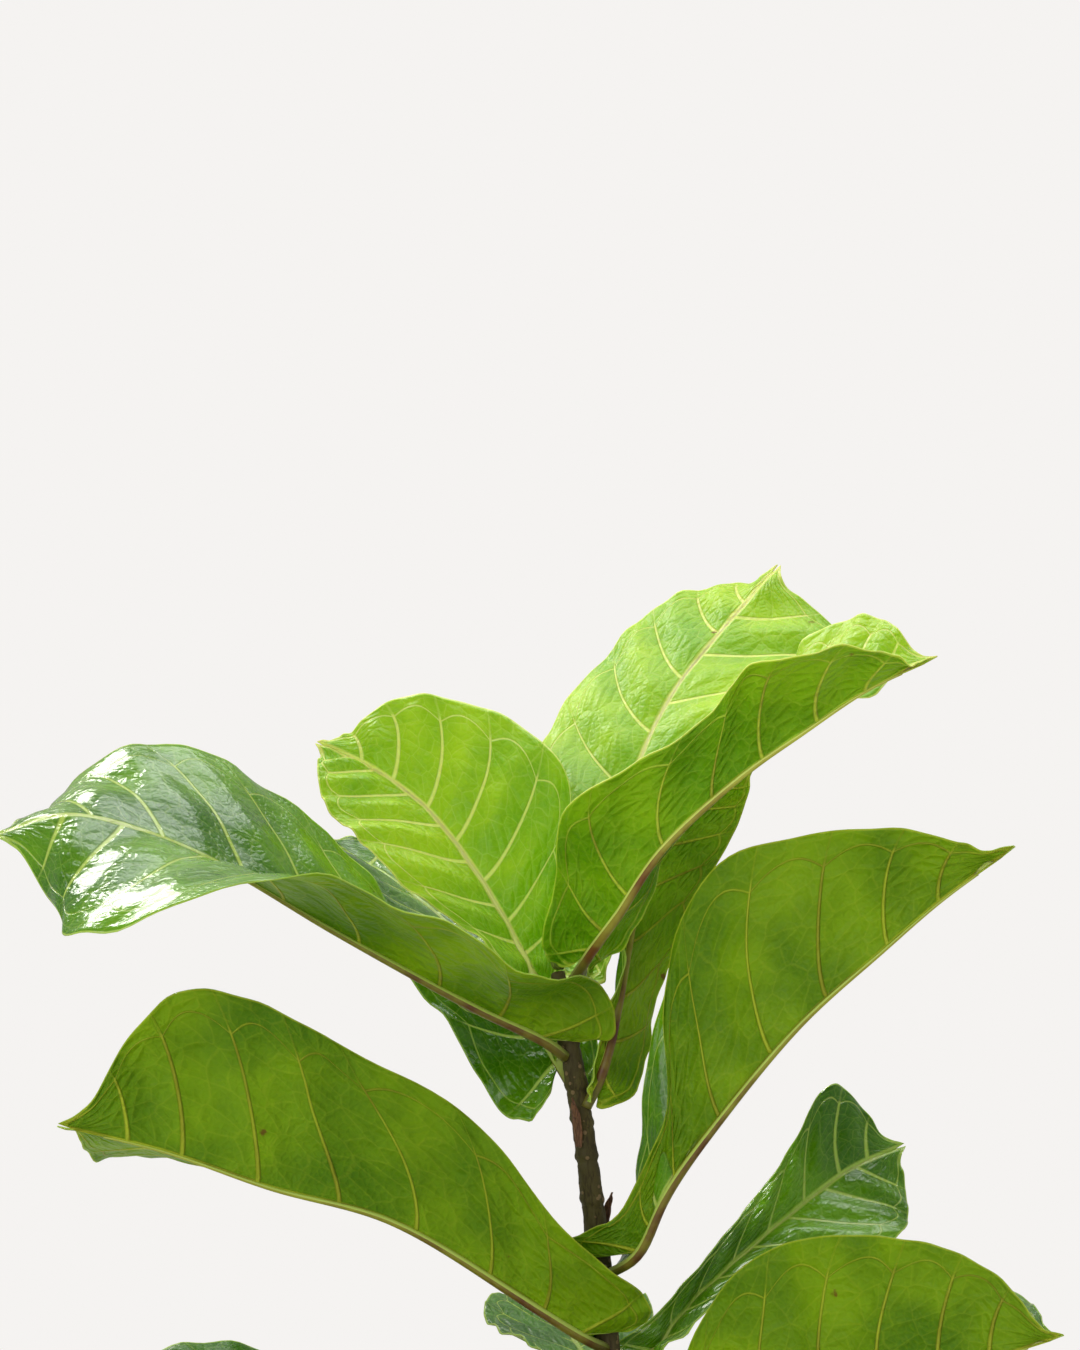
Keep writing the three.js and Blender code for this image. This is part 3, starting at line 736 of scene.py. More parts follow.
class Bench:
    """Operator work that every modelled piece shares."""

    @staticmethod
    def clear() -> None:
        """Leaves edit mode and deselects everything."""
        if bpy.context.object and bpy.context.object.mode != "OBJECT":
            bpy.ops.object.mode_set(mode="OBJECT")
        bpy.ops.object.select_all(action="DESELECT")

    @staticmethod
    def pick(piece: bpy.types.Object) -> None:
        """Selects one piece alone and makes it active."""
        Bench.clear()
        piece.select_set(True)
        bpy.context.view_layer.objects.active = piece

    @staticmethod
    def turned(name: str, sides: int, outline: list[tuple[float, float]]) -> bpy.types.Object:
        """Models a round piece about the Z axis by extruding and resizing one ring.

        Args:
            name: The piece's name.
            sides: How many sides the ring has.
            outline: Radius and height of each ring, from the middle of the underside round
                the outside to the middle of the top or of the hollow.

        Returns:
            The closed piece.
        """
        Bench.clear()
        radius, height = outline[0]
        bpy.ops.mesh.primitive_circle_add(vertices=sides, radius=radius, fill_type="NGON",
                                          location=(0, 0, height))
        piece = bpy.context.object
        piece.name = piece.data.name = name
        bpy.ops.object.transform_apply(location=True, rotation=False, scale=False)
        bpy.ops.object.mode_set(mode="EDIT")
        bpy.ops.mesh.select_mode(type="EDGE")
        bpy.ops.mesh.select_all(action="SELECT")
        for new_radius, new_height in outline[1:]:
            bpy.ops.mesh.extrude_edges_move(
                TRANSFORM_OT_translate={"value": (0, 0, new_height - height)})
            ratio = new_radius / radius
            bpy.ops.transform.resize(value=(ratio, ratio, 1), center_override=(0, 0, new_height))
            radius, height = new_radius, new_height
        bpy.ops.mesh.edge_face_add()
        bpy.ops.mesh.select_all(action="SELECT")
        bpy.ops.mesh.normals_make_consistent(inside=False)
        bpy.ops.object.mode_set(mode="OBJECT")
        return piece

    @staticmethod
    def apply(piece: bpy.types.Object, kind: str, **settings: object) -> None:
        """Adds a modifier to a piece, sets it and applies it.

        Args:
            piece: The piece.
            kind: The modifier's type.
            settings: Values for its settings.
        """
        Bench.pick(piece)
        modifier = piece.modifiers.new(kind.title(), kind)
        for label, value in settings.items():
            setattr(modifier, label, value)
        bpy.ops.object.modifier_apply(modifier=modifier.name)

    @staticmethod
    def lumps(name: str, size: float, depth: int) -> bpy.types.Texture:
        """Makes a cloudy texture that a Displace modifier reads."""
        texture = bpy.data.textures.new(name, "CLOUDS")
        texture.noise_scale = size
        texture.noise_depth = depth
        return texture

    @staticmethod
    def coordinates(piece: bpy.types.Object) -> Points:
        """Reads a piece's vertex places."""
        flat = np.empty(len(piece.data.vertices) * 3)
        piece.data.vertices.foreach_get("co", flat)
        return flat.reshape(-1, 3)

    @staticmethod
    def move(piece: bpy.types.Object, places: Points) -> None:
        """Writes a piece's vertex places."""
        piece.data.vertices.foreach_set("co", places.ravel())
        piece.data.update()

    @staticmethod
    def smooth(piece: bpy.types.Object, degrees: float) -> None:
        """Shades a piece smooth except across edges sharper than an angle."""
        Bench.pick(piece)
        bpy.ops.object.shade_smooth_by_angle(angle=math.radians(degrees))

    @staticmethod
    def finish(piece: bpy.types.Object, materials: list[bpy.types.Material], slot: str,
               *nodes: str) -> None:
        """Dresses a piece, hangs it on the frame and reports it.

        Args:
            piece: The piece.
            materials: Its materials in slot order.
            slot: A material slot name; not used.
            nodes: The frame nodes that it stands for.
        """
        if not piece.data.materials:
            for material in materials:
                piece.data.materials.append(material)
        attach(piece, BODY)
        if nodes:
            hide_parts(*nodes)
        log.info("%s: %d faces", piece.name, len(piece.data.polygons))


# ---- leaves --------------------------------------------------------------------------


@dataclass(frozen=True)
class Half:
    """One half of a blade: degrees lifted, share of the common width, degrees of curl."""

    lift: tuple[float, ...]
    reach: tuple[float, ...] = (1.0,)
    curl: tuple[float, ...] = (0.0,)


@dataclass(frozen=True)
class Plan:
    """One leaf's shape in millimetres, and its age and surface relief."""

    node: str
    spine: tuple[tuple[float, float, float], ...]
    left: Half
    right: Half
    width: float = 1.0
    ripple: tuple[float, float, float] = (3.0, 4.0, 0.0)
    roll: tuple[float, ...] = (0.0,)
    age: LeafAge = LeafAge.MATURE
    quilt: float = 2.1
    slot: str = "leaf"


PLANS = (
    Plan(
        "leaf_top_right",
        ((-19, -6, 398), (-12, -14, 409), (-2, -26, 424), (15, -42, 449), (45, -62, 476),
         (67, -76, 491), (92, -88, 507), (112, -95, 516)),
        Half((7, 10, 20, 34, 44, 50, 50), (0.5, 0.45, 0.45, 0.55, 0.85, 1, 1)),
        Half((50, 45, 42, 42, 36, 26, 20),
             (0.4, 0.4, 0.5, 0.64, 0.82, 0.98, 0.66, 0.48, 0.74, 0.7, 0.5, 0.6, 1)),
        1.05, (2.5, 4.5, 2.2), age=LeafAge.YOUNG, quilt=2.8, slot="young_leaf",
    ),
    Plan(
        "leaf_top_back",
        ((-20, 3, 393), (-12, 18, 409), (-4, 45, 440), (6, 75, 480), (24, 105, 520),
         (48, 132, 552), (70, 152, 578)),
        Half((15,), (0.2, 0.22, 0.6, 0.7, 0.62, 0.7, 0.9)),
        Half((15, 10, 0, -25, -35),
             (0.3, 0.3, 0.3, 0.35, 0.4, 0.5, 0.7, 0.95, 1.15, 1.15, 1, 0.9, 0.8)),
        1.05, (3, 3, 0), (-5,), LeafAge.YOUNG, 2.8, "young_leaf",
    ),
    Plan(
        "leaf_top_front",
        ((-23, 2, 380), (-35, 11, 401), (-47, 19, 424), (-62, 30, 448), (-80, 44, 470),
         (-103, 58, 487), (-122, 68, 496)),
        Half((20,), (0.3, 0.35, 0.6, 0.85, 0.74, 0.7, 1)),
        Half((10,), (0.15, 0.17, 0.2, 0.5, 0.9, 1.15, 1.4, 1.2, 1, 0.88, 0.6, 0.8, 1)),
        1.0, (2, 4, 0), (-45, -55), LeafAge.YOUNG, 2.8, "young_leaf",
    ),
    Plan(
        "leaf_upper_left",
        ((-22, -3, 368), (-30, -11, 374), (-70, -36, 395), (-112, -58, 418), (-150, -72, 440),
         (-182, -80, 454), (-210, -84, 460), (-232, -84, 454)),
        Half((46, 19, 20, 14, 3, -17, -40, -50),
             (0.7, 0.72, 0.75, 0.82, 0.95, 0.92, 0.6, 0.85, 1.1, 1.2, 1.35, 1.3, 1)),
        Half((10, 18, 32, 40, 40, 35, 25, 5), (0.7, 0.7, 0.8, 1, 1, 1, 1)),
        1.0, (3, 4.2, 0.5),
    ),
    Plan(
        "leaf_upper_back",
        ((-18, 3, 354), (-24, 12, 364), (-40, 40, 390), (-60, 70, 412), (-80, 95, 430),
         (-102, 118, 446), (-124, 136, 458)),
        Half((-40, -8, 12, 15, 10)),
        Half((20,), (0.4, 0.4, 0.7, 1, 1, 1, 1)),
        1.0, (2, 3, 1),
    ),
    Plan(
        "leaf_upper_right",
        ((-14, -3, 348), (-8, -1, 360), (-2, 4, 385), (4, 10, 415), (10, 12, 438),
         (22, 16, 458), (38, 19, 474), (52, 21, 484)),
        Half((0,), (0.35, 0.35, 0.9, 0.62, 0.5, 0.5, 1)),
        Half((-30,), (0.3, 0.3, 0.2, 0.2, 0.25, 0.4, 1)),
        0.95, (2, 3, 0), (-90, -105),
    ),
    Plan(
        "leaf_middle_right",
        ((-7, -4, 282), (6, -15, 291), (17, -25, 316), (38, -38, 346), (68, -54, 382),
         (98, -66, 409), (120, -74, 428), (142, -80, 444)),
        Half((60, 80, 80, 70, 50, 30), (0.3, 0.3, 0.5, 1, 0.8, 0.6, 1)),
        Half((62, 80, 85, 80, 75, 60),
             (1, 1.05, 1, 0.6, 0.36, 0.42, 0.88, 1, 0.8, 0.64, 0.56, 0.6, 1)),
        1.0, (2, 3, 0),
    ),
    Plan(
        "leaf_middle_left",
        ((-6, -3, 254), (-15, -14, 259), (-40, -30, 277), (-89, -52, 307), (-134, -66, 320),
         (-174, -75, 334), (-206, -82, 342)),
        Half((55, 74, 78, 76, 76, 76, 70),
             (0.85, 0.85, 0.85, 0.8, 0.76, 0.8, 0.85, 0.88, 0.97, 1.15, 1.35, 1.4, 1),
             (6, 0, 0, 0, -10, -20)),
        Half((34, 20, 10, 0, -15), (0.7, 0.7, 0.9, 1, 1, 1, 1)),
        1.0, (2, 4, 1),
    ),
    Plan(
        "leaf_lower_right",
        ((-3, 4, 238), (12, 12, 250), (28, 30, 268), (50, 52, 286), (74, 72, 304),
         (98, 88, 320), (118, 98, 328)),
        Half((70,), (0.6, 0.6, 0.3, 0.25, 0.42, 1.1, 1)),
        Half((20, 0, -30, -50), (0.6, 0.6, 0.6, 0.7, 0.75, 0.8, 1)),
        1.1, (2, 3, 0),
    ),
    Plan(
        "leaf_lower_back",
        ((-4, 4, 226), (-7, 15, 232), (-12, 50, 242), (-18, 90, 249), (-22, 125, 254),
         (-24, 150, 254)),
        Half((15,)), Half((15,)), 0.85, (3, 3, 0), age=LeafAge.OLD,
    ),
    Plan(
        "leaf_bottom_right",
        ((1, -4, 190), (12, -14, 197), (46, -40, 216), (79, -62, 232), (108, -80, 247),
         (134, -94, 258), (155, -104, 266)),
        Half((30,), (0.8, 0.8, 1, 1, 1, 1, 1)),
        Half((78,), (1, 1, 0.95, 1.3, 0.97, 0.9, 1)),
        1.05, (3, 3.5, 0),
    ),
    Plan(
        "leaf_bottom_left",
        ((-4, -1, 178), (-16, -4, 184), (-60, -16, 200), (-100, -28, 212), (-140, -38, 222),
         (-175, -44, 226), (-205, -48, 222)),
        Half((32,)), Half((30,)), 0.95, (3, 4, 2), age=LeafAge.OLD,
    ),
    Plan(
        "leaf_bottom_back",
        ((2, 4, 160), (10, 14, 165), (36, 48, 180), (62, 84, 190), (84, 118, 192),
         (100, 144, 186)),
        Half((22,)), Half((24,)), 0.95, (3, 4, 1), age=LeafAge.OLD,
    ),
    Plan(
        "leaf_bottom_front",
        ((-1, -5, 142), (-6, -16, 146), (-24, -54, 160), (-40, -92, 168), (-54, -126, 168),
         (-64, -150, 160)),
        Half((24,)), Half((22,)), 0.95, (3, 4, 0), age=LeafAge.OLD,
    ),
)


class Midrib:
    """The centre line of one leaf, with its own up and right."""

    SAMPLES = 1600

    def __init__(self, plan: Plan) -> None:
        """Measures the line.

        Args:
            plan: The leaf's plan.
        """
        self.roll = plan.roll
        self.line = Spline(plan.spine).at(np.linspace(0, 1, self.SAMPLES + 1))
        steps = np.linalg.norm(np.diff(self.line, axis=0), axis=1)
        self.distance = np.concatenate([[0], np.cumsum(steps)])
        self.total = self.distance[-1]
        self.petiole = self.distance[round(self.SAMPLES / (len(plan.spine) - 1))]
        self.blade = self.total - self.petiole

    def point(self, distance: Points) -> Points:
        """Returns the place at a distance from the stem."""
        return np.stack([np.interp(distance, self.distance, self.line[:, axis])
                         for axis in range(3)], -1)

    def frame(self, along: Points) -> tuple[Points, Points, Points]:
        """Finds the line's places and directions.

        Args:
            along: Shares of the blade from its base; beyond its ends the line runs straight.

        Returns:
            The places, the up directions and the right directions.
        """
        distance = self.petiole + along * self.blade
        held = np.clip(distance, self.petiole, self.total)
        ahead = unit(self.point(np.minimum(held + 1, self.total)) - self.point(held - 1))
        centre = self.point(held) + ahead * (distance - held)[..., None]
        plumb = unit(np.array([0, 0, 1.0]) - ahead * ahead[..., 2:])
        level = np.cross(ahead, plumb)
        roll = np.radians(value_at(self.roll, along))[..., None]
        up = plumb * np.cos(roll) + level * np.sin(roll)
        right = level * np.cos(roll) - plumb * np.sin(roll)
        return centre, up, right


@dataclass
class Leaf:
    """One leaf: a thin quilted blade with ridged veins on a petiole and midrib."""

    plan: Plan
    finish: LeafFinish
    seed: int
    rows: int = 104
    columns: int = 30
    thickness: float = 0.55
    sweep: float = 0.055
    vein_ridge: float = 0.5
    ridge_half_width: float = 0.9
    rib_sides: int = 12
    rib_steps: int = 60
    rib_base: float = 2.3
    rib_tip: float = 0.35

    # Half of a fiddle-shaped blade from the petiole round the ear and the waist to the tip, in
    # blade lengths: how far along, how far out, and where on the midrib its side vein starts.
    OUTLINE = Spline([
        (0, 0.012, 0), (-0.055, 0.05, 0.003), (-0.08, 0.105, 0.008), (-0.045, 0.15, 0.02),
        (0.06, 0.165, 0.06), (0.19, 0.185, 0.14), (0.34, 0.24, 0.25), (0.5, 0.28, 0.39),
        (0.66, 0.31, 0.54), (0.8, 0.295, 0.69), (0.9, 0.23, 0.82), (0.962, 0.12, 0.91),
        (0.992, 0.035, 0.96), (1.03, 0.004, 1),
    ])
    # Where along the outline each side vein runs, on the left and on the right.
    VEINS = {-1: (0.2, 0.35, 0.445, 0.535, 0.61, 0.685, 0.765, 0.845),
             1: (0.17, 0.31, 0.405, 0.495, 0.575, 0.648, 0.725, 0.805)}
    VEIN_SWEEP = 1.2                # above 1, side veins leave the midrib pointing outwards
    OUTLINE_LENGTH = 1.1            # the outline's length in blade lengths
    CRINKLE = 0.9                   # millimetres that the margin crinkles
    CRINKLE_WAVES = (71, 123)
    UNEVEN = 0.9                    # millimetres that the whole blade undulates
    GROOVE = 0.12                   # millimetres that a side vein sinks into the upper side
    RIB_REACH = 0.95                # share of the blade that the raised midrib runs along
    RIB_SINK = 0.62                 # radii that it lies below the blade
    MAP_SCALE = 100                 # millimetres for one unit of the blade map

    def build(self) -> bpy.types.Object:
        """Makes the leaf and hangs it on the frame.

        Returns:
            The leaf.
        """
        self.midrib = Midrib(self.plan)
        blade_points, blade_faces, maps = self.blade()
        rib_points, rib_faces, rib_sides, rib_along = self.rib()
        points = np.vstack([blade_points, rib_points]) * MM
        faces = np.vstack([blade_faces, rib_faces + len(blade_points)])
        mesh = bpy.data.meshes.new(self.plan.node)
        mesh.from_pydata(points, [], faces.tolist())
        piece = bpy.data.objects.new(self.plan.node + "_blade", mesh)
        bpy.context.scene.collection.objects.link(piece)
        count = len(rib_points)
        for label in ("vein_gap", "reach", "margin", "along"):
            tail = rib_along if label == "along" else np.full(count, 50.0)
            layer = mesh.attributes.new(label, "FLOAT", "POINT")
            layer.data.foreach_set("value", np.concatenate([maps[label], tail]))
        for label in ("vein_map", "blade_map"):
            tail = np.zeros((4 * len(rib_faces), 2))
            layer = mesh.uv_layers.new(name=label)
            layer.data.foreach_set("uv", np.vstack([maps[label], tail]).ravel())
        for material in self.finish.all():
            mesh.materials.append(material)
        slots = np.concatenate([maps["slot"], rib_sides])
        mesh.polygons.foreach_set("material_index", slots)
        mesh.polygons.foreach_set("use_smooth", np.ones(len(faces), bool))
        mesh.update()
        Bench.finish(piece, [], self.plan.slot, self.plan.node)
        return piece

    def row_places(self) -> Points:
        """Returns the rows of the blade, three of them close together on each side vein."""
        length = self.midrib.blade * self.OUTLINE_LENGTH
        close = self.ridge_half_width / length
        even = np.linspace(0, 1, self.rows + 1)
        veins = np.array(self.VEINS[-1] + self.VEINS[1])
        kept = [r for r in even if np.abs(veins - r).min() > 1.6 * close]
        return np.sort(np.concatenate([kept, veins - close, veins, veins + close]))

    def vein_count(self, rows: Points, side: int) -> Points:
        """Numbers the side veins, so that each falls on a whole number.

        Args:
            rows: Places along the outline.
            side: -1 for the left half and 1 for the right.

        Returns:
            The vein number at each place.
        """
        veins = self.VEINS[side]
        places = np.concatenate([[0], veins, [1]])
        numbers = np.concatenate([[-0.7], np.arange(len(veins)), [len(veins) - 0.3]])
        return np.interp(rows, places, numbers)

    def half(self, rows: Points, side: int) -> dict[str, Points]:
        """Shapes one half of the blade.

        Args:
            rows: The rows' places along the outline.
            side: -1 for the left half and 1 for the right.

        Returns:
            Grids of points, normals and map values, with columns from the midrib outwards.
        """
        plan, midrib = self.plan, self.midrib
        half = plan.left if side < 0 else plan.right
        share = np.linspace(0, 1, self.columns + 1)[None, :]
        base = rows[:, None]
        row = base + self.sweep * 4 * base * (1 - base) * share ** 1.4
        edge = self.OUTLINE.at(row)
        along = edge[..., 2] + (edge[..., 0] - edge[..., 2]) * share ** self.VEIN_SWEEP
        reach = edge[..., 1] * plan.width * value_at(half.reach, row) * midrib.blade
        out = reach * share
        centre, up, right = midrib.frame(along)
        lift = np.radians(value_at(half.lift, along))
        curl = np.radians(value_at(half.curl, along))
        bend = np.where(np.abs(curl) < 1e-3, 1e-3, curl) / (plan.width * midrib.blade / 3)
        angle = lift + bend * out
        sideways = (np.sin(angle) - np.sin(lift)) / bend
        upwards = (np.cos(lift) - np.cos(angle)) / bend
        normal = up * np.cos(angle)[..., None] - side * right * np.sin(angle)[..., None]
        height, waves, start = plan.ripple
        fade = np.minimum(1, np.minimum(6 * row, 8 * (1 - row)))
        phase = 2 * math.pi * waves * row + start + (0 if side < 0 else 1.7)
        raised = height * share ** 2 * np.sin(phase) * fade
        count = self.vein_count(rows, side)[:, None] + 0 * share
        raised = raised + self.relief(count, share, row, out, fade)
        points = (centre + side * right * sideways[..., None] + up * upwards[..., None]
                  + normal * raised[..., None])
        return {
            "point": points, "normal": normal, "count": count, "share": share + 0 * row,
            "reach": reach, "margin": np.minimum(reach * (1 - share), reach), "along": along,
            "out": side * out, "ridge": self.ridge(count, share),
        }

    def relief(self, count: Points, share: Points, row: Points, out: Points,
               fade: Points) -> Points:
        """Gives the height of the quilting, the margin's crinkle and the blade's unevenness.

        Args:
            count: The vein number at each point.
            share: How far out each point is.
            row: Its place along the outline.
            out: Its distance from the midrib in millimetres.
            fade: 1 over the blade and 0 at its two ends.

        Returns:
            The height of each point in millimetres.
        """
        random = np.random.default_rng(self.seed)
        between = np.sin(math.pi * count) ** 2
        puff = self.plan.quilt * between * np.sin(math.pi * np.clip(share, 0, 1) ** 0.85)
        a, b, c, d = random.uniform(0, 2 * math.pi, 4)
        long_wave, short_wave = self.CRINKLE_WAVES
        waves = np.sin(long_wave * row + a) + 0.6 * np.sin(short_wave * row + b)
        crinkle = self.CRINKLE * share ** 5 * waves
        uneven = self.UNEVEN * np.sin(23 * row + out / 9 + c) * np.sin(out / 13 - 11 * row + d)
        return (puff + crinkle + uneven * np.sin(math.pi * share)) * fade

    def ridge(self, count: Points, share: Points) -> Points:
        """Gives how far each point stands on the ridge of a side vein, 0 to 1."""
        on_vein = np.abs(count - np.round(count)) < 1e-6
        return np.where(on_vein, np.clip(1.05 - share, 0, 1) ** 0.6 * np.minimum(1, 12 * share), 0)

    def blade(self) -> tuple[Points, Points, dict[str, Points]]:
        """Builds the closed blade.

        Returns:
            Its points, its four-sided faces and its map values.
        """
        rows = self.row_places()
        left, right = self.half(rows, -1), self.half(rows, 1)

        def joined(label: str) -> Points:
            return np.concatenate([left[label][:, :0:-1], right[label]], 1)

        points, normals, ridge = joined("point"), joined("normal"), joined("ridge")
        middle = self.columns
        normals[:, middle] = unit(left["normal"][:, 0] + right["normal"][:, 0])
        upper = points + normals * (self.thickness / 2 - self.GROOVE * ridge)[..., None]
        under = points - normals * (self.thickness / 2 + self.vein_ridge * ridge)[..., None]
        height, width = ridge.shape
        index = np.arange(height * width).reshape(height, width)
        below = index + height * width
        top = self.quads(index[:-1, :-1], index[:-1, 1:], index[1:, 1:], index[1:, :-1])
        bottom = self.quads(below[:-1, :-1], below[1:, :-1], below[1:, 1:], below[:-1, 1:])
        sides = np.vstack([
            self.quads(index[:-1, 0], index[1:, 0], below[1:, 0], below[:-1, 0]),
            self.quads(index[:-1, -1], below[:-1, -1], below[1:, -1], index[1:, -1]),
            self.quads(index[0, :-1], below[0, :-1], below[0, 1:], index[0, 1:]),
            self.quads(index[-1, :-1], index[-1, 1:], below[-1, 1:], below[-1, :-1]),
        ])
        faces = np.vstack([top, bottom, sides])
        gap = self.gaps(points, joined("count"))
        maps = {"vein_gap": np.tile(gap.ravel(), 2), "reach": np.tile(joined("reach").ravel(), 2),
                "margin": np.tile(joined("margin").ravel(), 2),
                "along": np.tile(joined("along").ravel(), 2)}
        maps["slot"] = np.concatenate([np.zeros(len(top)), np.ones(len(bottom)),
                                       np.zeros(len(sides))]).astype(int)
        maps["vein_map"] = self.vein_map(faces, left, right, width)
        flat = np.stack([joined("along") * self.midrib.blade, joined("out")], -1) / self.MAP_SCALE
        maps["blade_map"] = np.tile(flat.reshape(-1, 2), (2, 1))[faces.ravel()]
        return np.vstack([upper.reshape(-1, 3), under.reshape(-1, 3)]), faces, maps

    @staticmethod
    def quads(a: Points, b: Points, c: Points, d: Points) -> Points:
        """Lists four-sided faces from four grids of corners."""
        return np.stack([a.ravel(), b.ravel(), c.ravel(), d.ravel()], 1)

    @staticmethod
    def gaps(points: Points, count: Points) -> Points:
        """Measures the blade's millimetres for each side vein passed, at each point."""
        step = np.linalg.norm(np.gradient(points, axis=0), axis=-1)
        return np.clip(step / np.maximum(np.gradient(count, axis=0), 1e-4), 2, 90)

    def vein_map(self, faces: Points, left: dict[str, Points], right: dict[str, Points],
                 width: int) -> Points:
        """Gives each face corner its vein number and share, split cleanly at the midrib.

        Args:
            faces: The blade's faces.
            left: The left half's grids.
            right: The right half's grids.
            width: The number of points in a row.

        Returns:
            Two values for each face corner.
        """
        height = len(left["count"])
        place = faces % (height * width)
        row, column = place // width, place % width
        on_left = column.min(axis=1, keepdims=True) < self.columns
        count = np.where(on_left, left["count"][row, 0], right["count"][row, 0])
        share = np.abs(column - self.columns) / self.columns
        return np.stack([count.ravel(), share.ravel()], 1)

    def rib(self) -> tuple[Points, Points, Points, Points]:
        """Builds the petiole and midrib as one tapered tube.

        Returns:
            Its points, its faces, the material slot of each face, and how far along the
            blade each point is.
        """
        midrib = self.midrib
        reach = (midrib.petiole + self.RIB_REACH * midrib.blade) / midrib.total
        share = np.linspace(0, 1, self.rib_steps + 1)
        distance = share * reach * midrib.total
        along = (distance - midrib.petiole) / midrib.blade
        _, up, right = midrib.frame(np.maximum(along, 0))
        radius = self.rib_tip + (self.rib_base - self.rib_tip) * (1 - share) ** 1.15
        sunk = radius * np.clip(along * 8, 0, 1) * self.RIB_SINK
        centre = midrib.point(distance) - up * sunk[:, None]
        turn = np.arange(self.rib_sides) / self.rib_sides * 2 * math.pi
        ring = (right[:, None] * np.cos(turn)[None, :, None]
                + up[:, None] * np.sin(turn)[None, :, None])
        points = centre[:, None] + ring * radius[:, None, None]
        index = np.arange(points.shape[0] * self.rib_sides).reshape(-1, self.rib_sides)
        after = np.roll(index, -1, axis=1)
        wall = self.quads(index[:-1], index[1:], after[1:], after[:-1])
        under = (np.arange(self.rib_sides) >= self.rib_sides // 2).astype(int) + 2
        slots = np.tile(under, self.rib_steps)
        caps = []
        for ring_index, flip in ((index[0], False), (index[-1], True)):
            for k in range(1, self.rib_sides - 2, 2):
                four = [ring_index[0], ring_index[k], ring_index[k + 1], ring_index[k + 2]]
                caps.append(four[::-1] if flip else four)
        faces = np.vstack([wall, np.array(caps)])
        slots = np.concatenate([slots, np.full(len(caps), 3)])
        return points.reshape(-1, 3), faces, slots, np.repeat(along, self.rib_sides)


# ---- pot, soil, stem and small pieces ------------------------------------------------


@dataclass
class Pot:
    """A plain tapered clay pot with a thick lip and three drain holes."""

    sides: int = 120
    height: float = 110 * MM
    base_radius: float = 72 * MM
    rim_radius: float = 98 * MM
    wall: float = 6 * MM
    floor: float = 8 * MM
    lip_height: float = 16 * MM
    lip_overhang: float = 3 * MM
    edge: float = 2 * MM
    hole_radius: float = 6 * MM
    hole_circle: float = 35 * MM
    holes: int = 3
    wear: float = 0.3 * MM
    body_rings: tuple[float, ...] = (30 * MM, 60 * MM, 80 * MM)

    def outer(self, height: float) -> float:
        """Returns the outside radius of the body at a height."""
        return self.base_radius + (self.rim_radius - self.base_radius) * height / self.height

    def corner(self, radius: float, height: float, start: float) -> list[tuple[float, float]]:
        """Lists the rings of a quarter round edge.

        Args:
            radius: Radius of the centre of the round.
            height: Height of the centre of the round.
            start: Direction in degrees in which the round begins.

        Returns:
            Radius and height of each ring.
        """
        turns = [math.radians(start + step) for step in (0, 22.5, 45, 67.5, 90)]
        return [(radius + self.edge * math.cos(t), height + self.edge * math.sin(t))
                for t in turns]

    def outline(self) -> list[tuple[float, float]]:
        """Returns the rings of the pot from its underside to its inner floor."""
        lip_bottom = self.height - self.lip_height
        lip = self.rim_radius + self.lip_overhang
        inner = self.rim_radius - self.wall
        foot = self.corner(self.base_radius - self.edge, self.edge, -90)
        body = [(self.outer(h) - self.wear, h) for h in self.body_rings]
        under_lip = [(self.outer(lip_bottom) - 1 * MM, lip_bottom - 1.5 * self.lip_overhang),
                     (self.outer(lip_bottom) - 0.6 * MM, lip_bottom - 0.8 * self.lip_overhang),
                     (lip - 2 * MM, lip_bottom - 0.4 * MM), (lip - 0.8 * MM, lip_bottom + 1 * MM)]
        rim = self.corner(lip - self.edge, self.height - self.edge, 0)
        inside = self.corner(inner + self.edge, self.height - self.edge, 90)
        low = self.outer(self.floor) - self.wall
        floor = [(low + 1 * MM, self.floor + 4 * MM), (low - 1.2 * MM, self.floor + 1.2 * MM),
                 (low - 4 * MM, self.floor)]
        return foot + body + under_lip + [(lip, self.height - 5 * MM)] + rim + inside + floor

    def build(self, clay: bpy.types.Material) -> None:
        """Makes the pot and its holes.

        Args:
            clay: The pot's material.
        """
        piece = Bench.turned("clay_pot", self.sides, self.outline())
        for hole in range(self.holes):
            turn = hole / self.holes * 2 * math.pi + math.pi / 2
            Bench.clear()
            bpy.ops.mesh.primitive_cylinder_add(
                vertices=40, radius=self.hole_radius, depth=4 * self.floor,
                location=(self.hole_circle * math.cos(turn), self.hole_circle * math.sin(turn), 0))
            drill = bpy.context.object
            Bench.apply(piece, "BOOLEAN", object=drill, operation="DIFFERENCE", solver="EXACT")
            bpy.data.objects.remove(drill)
        Bench.smooth(piece, 35)
        Bench.finish(piece, [clay], "clay", "pot")


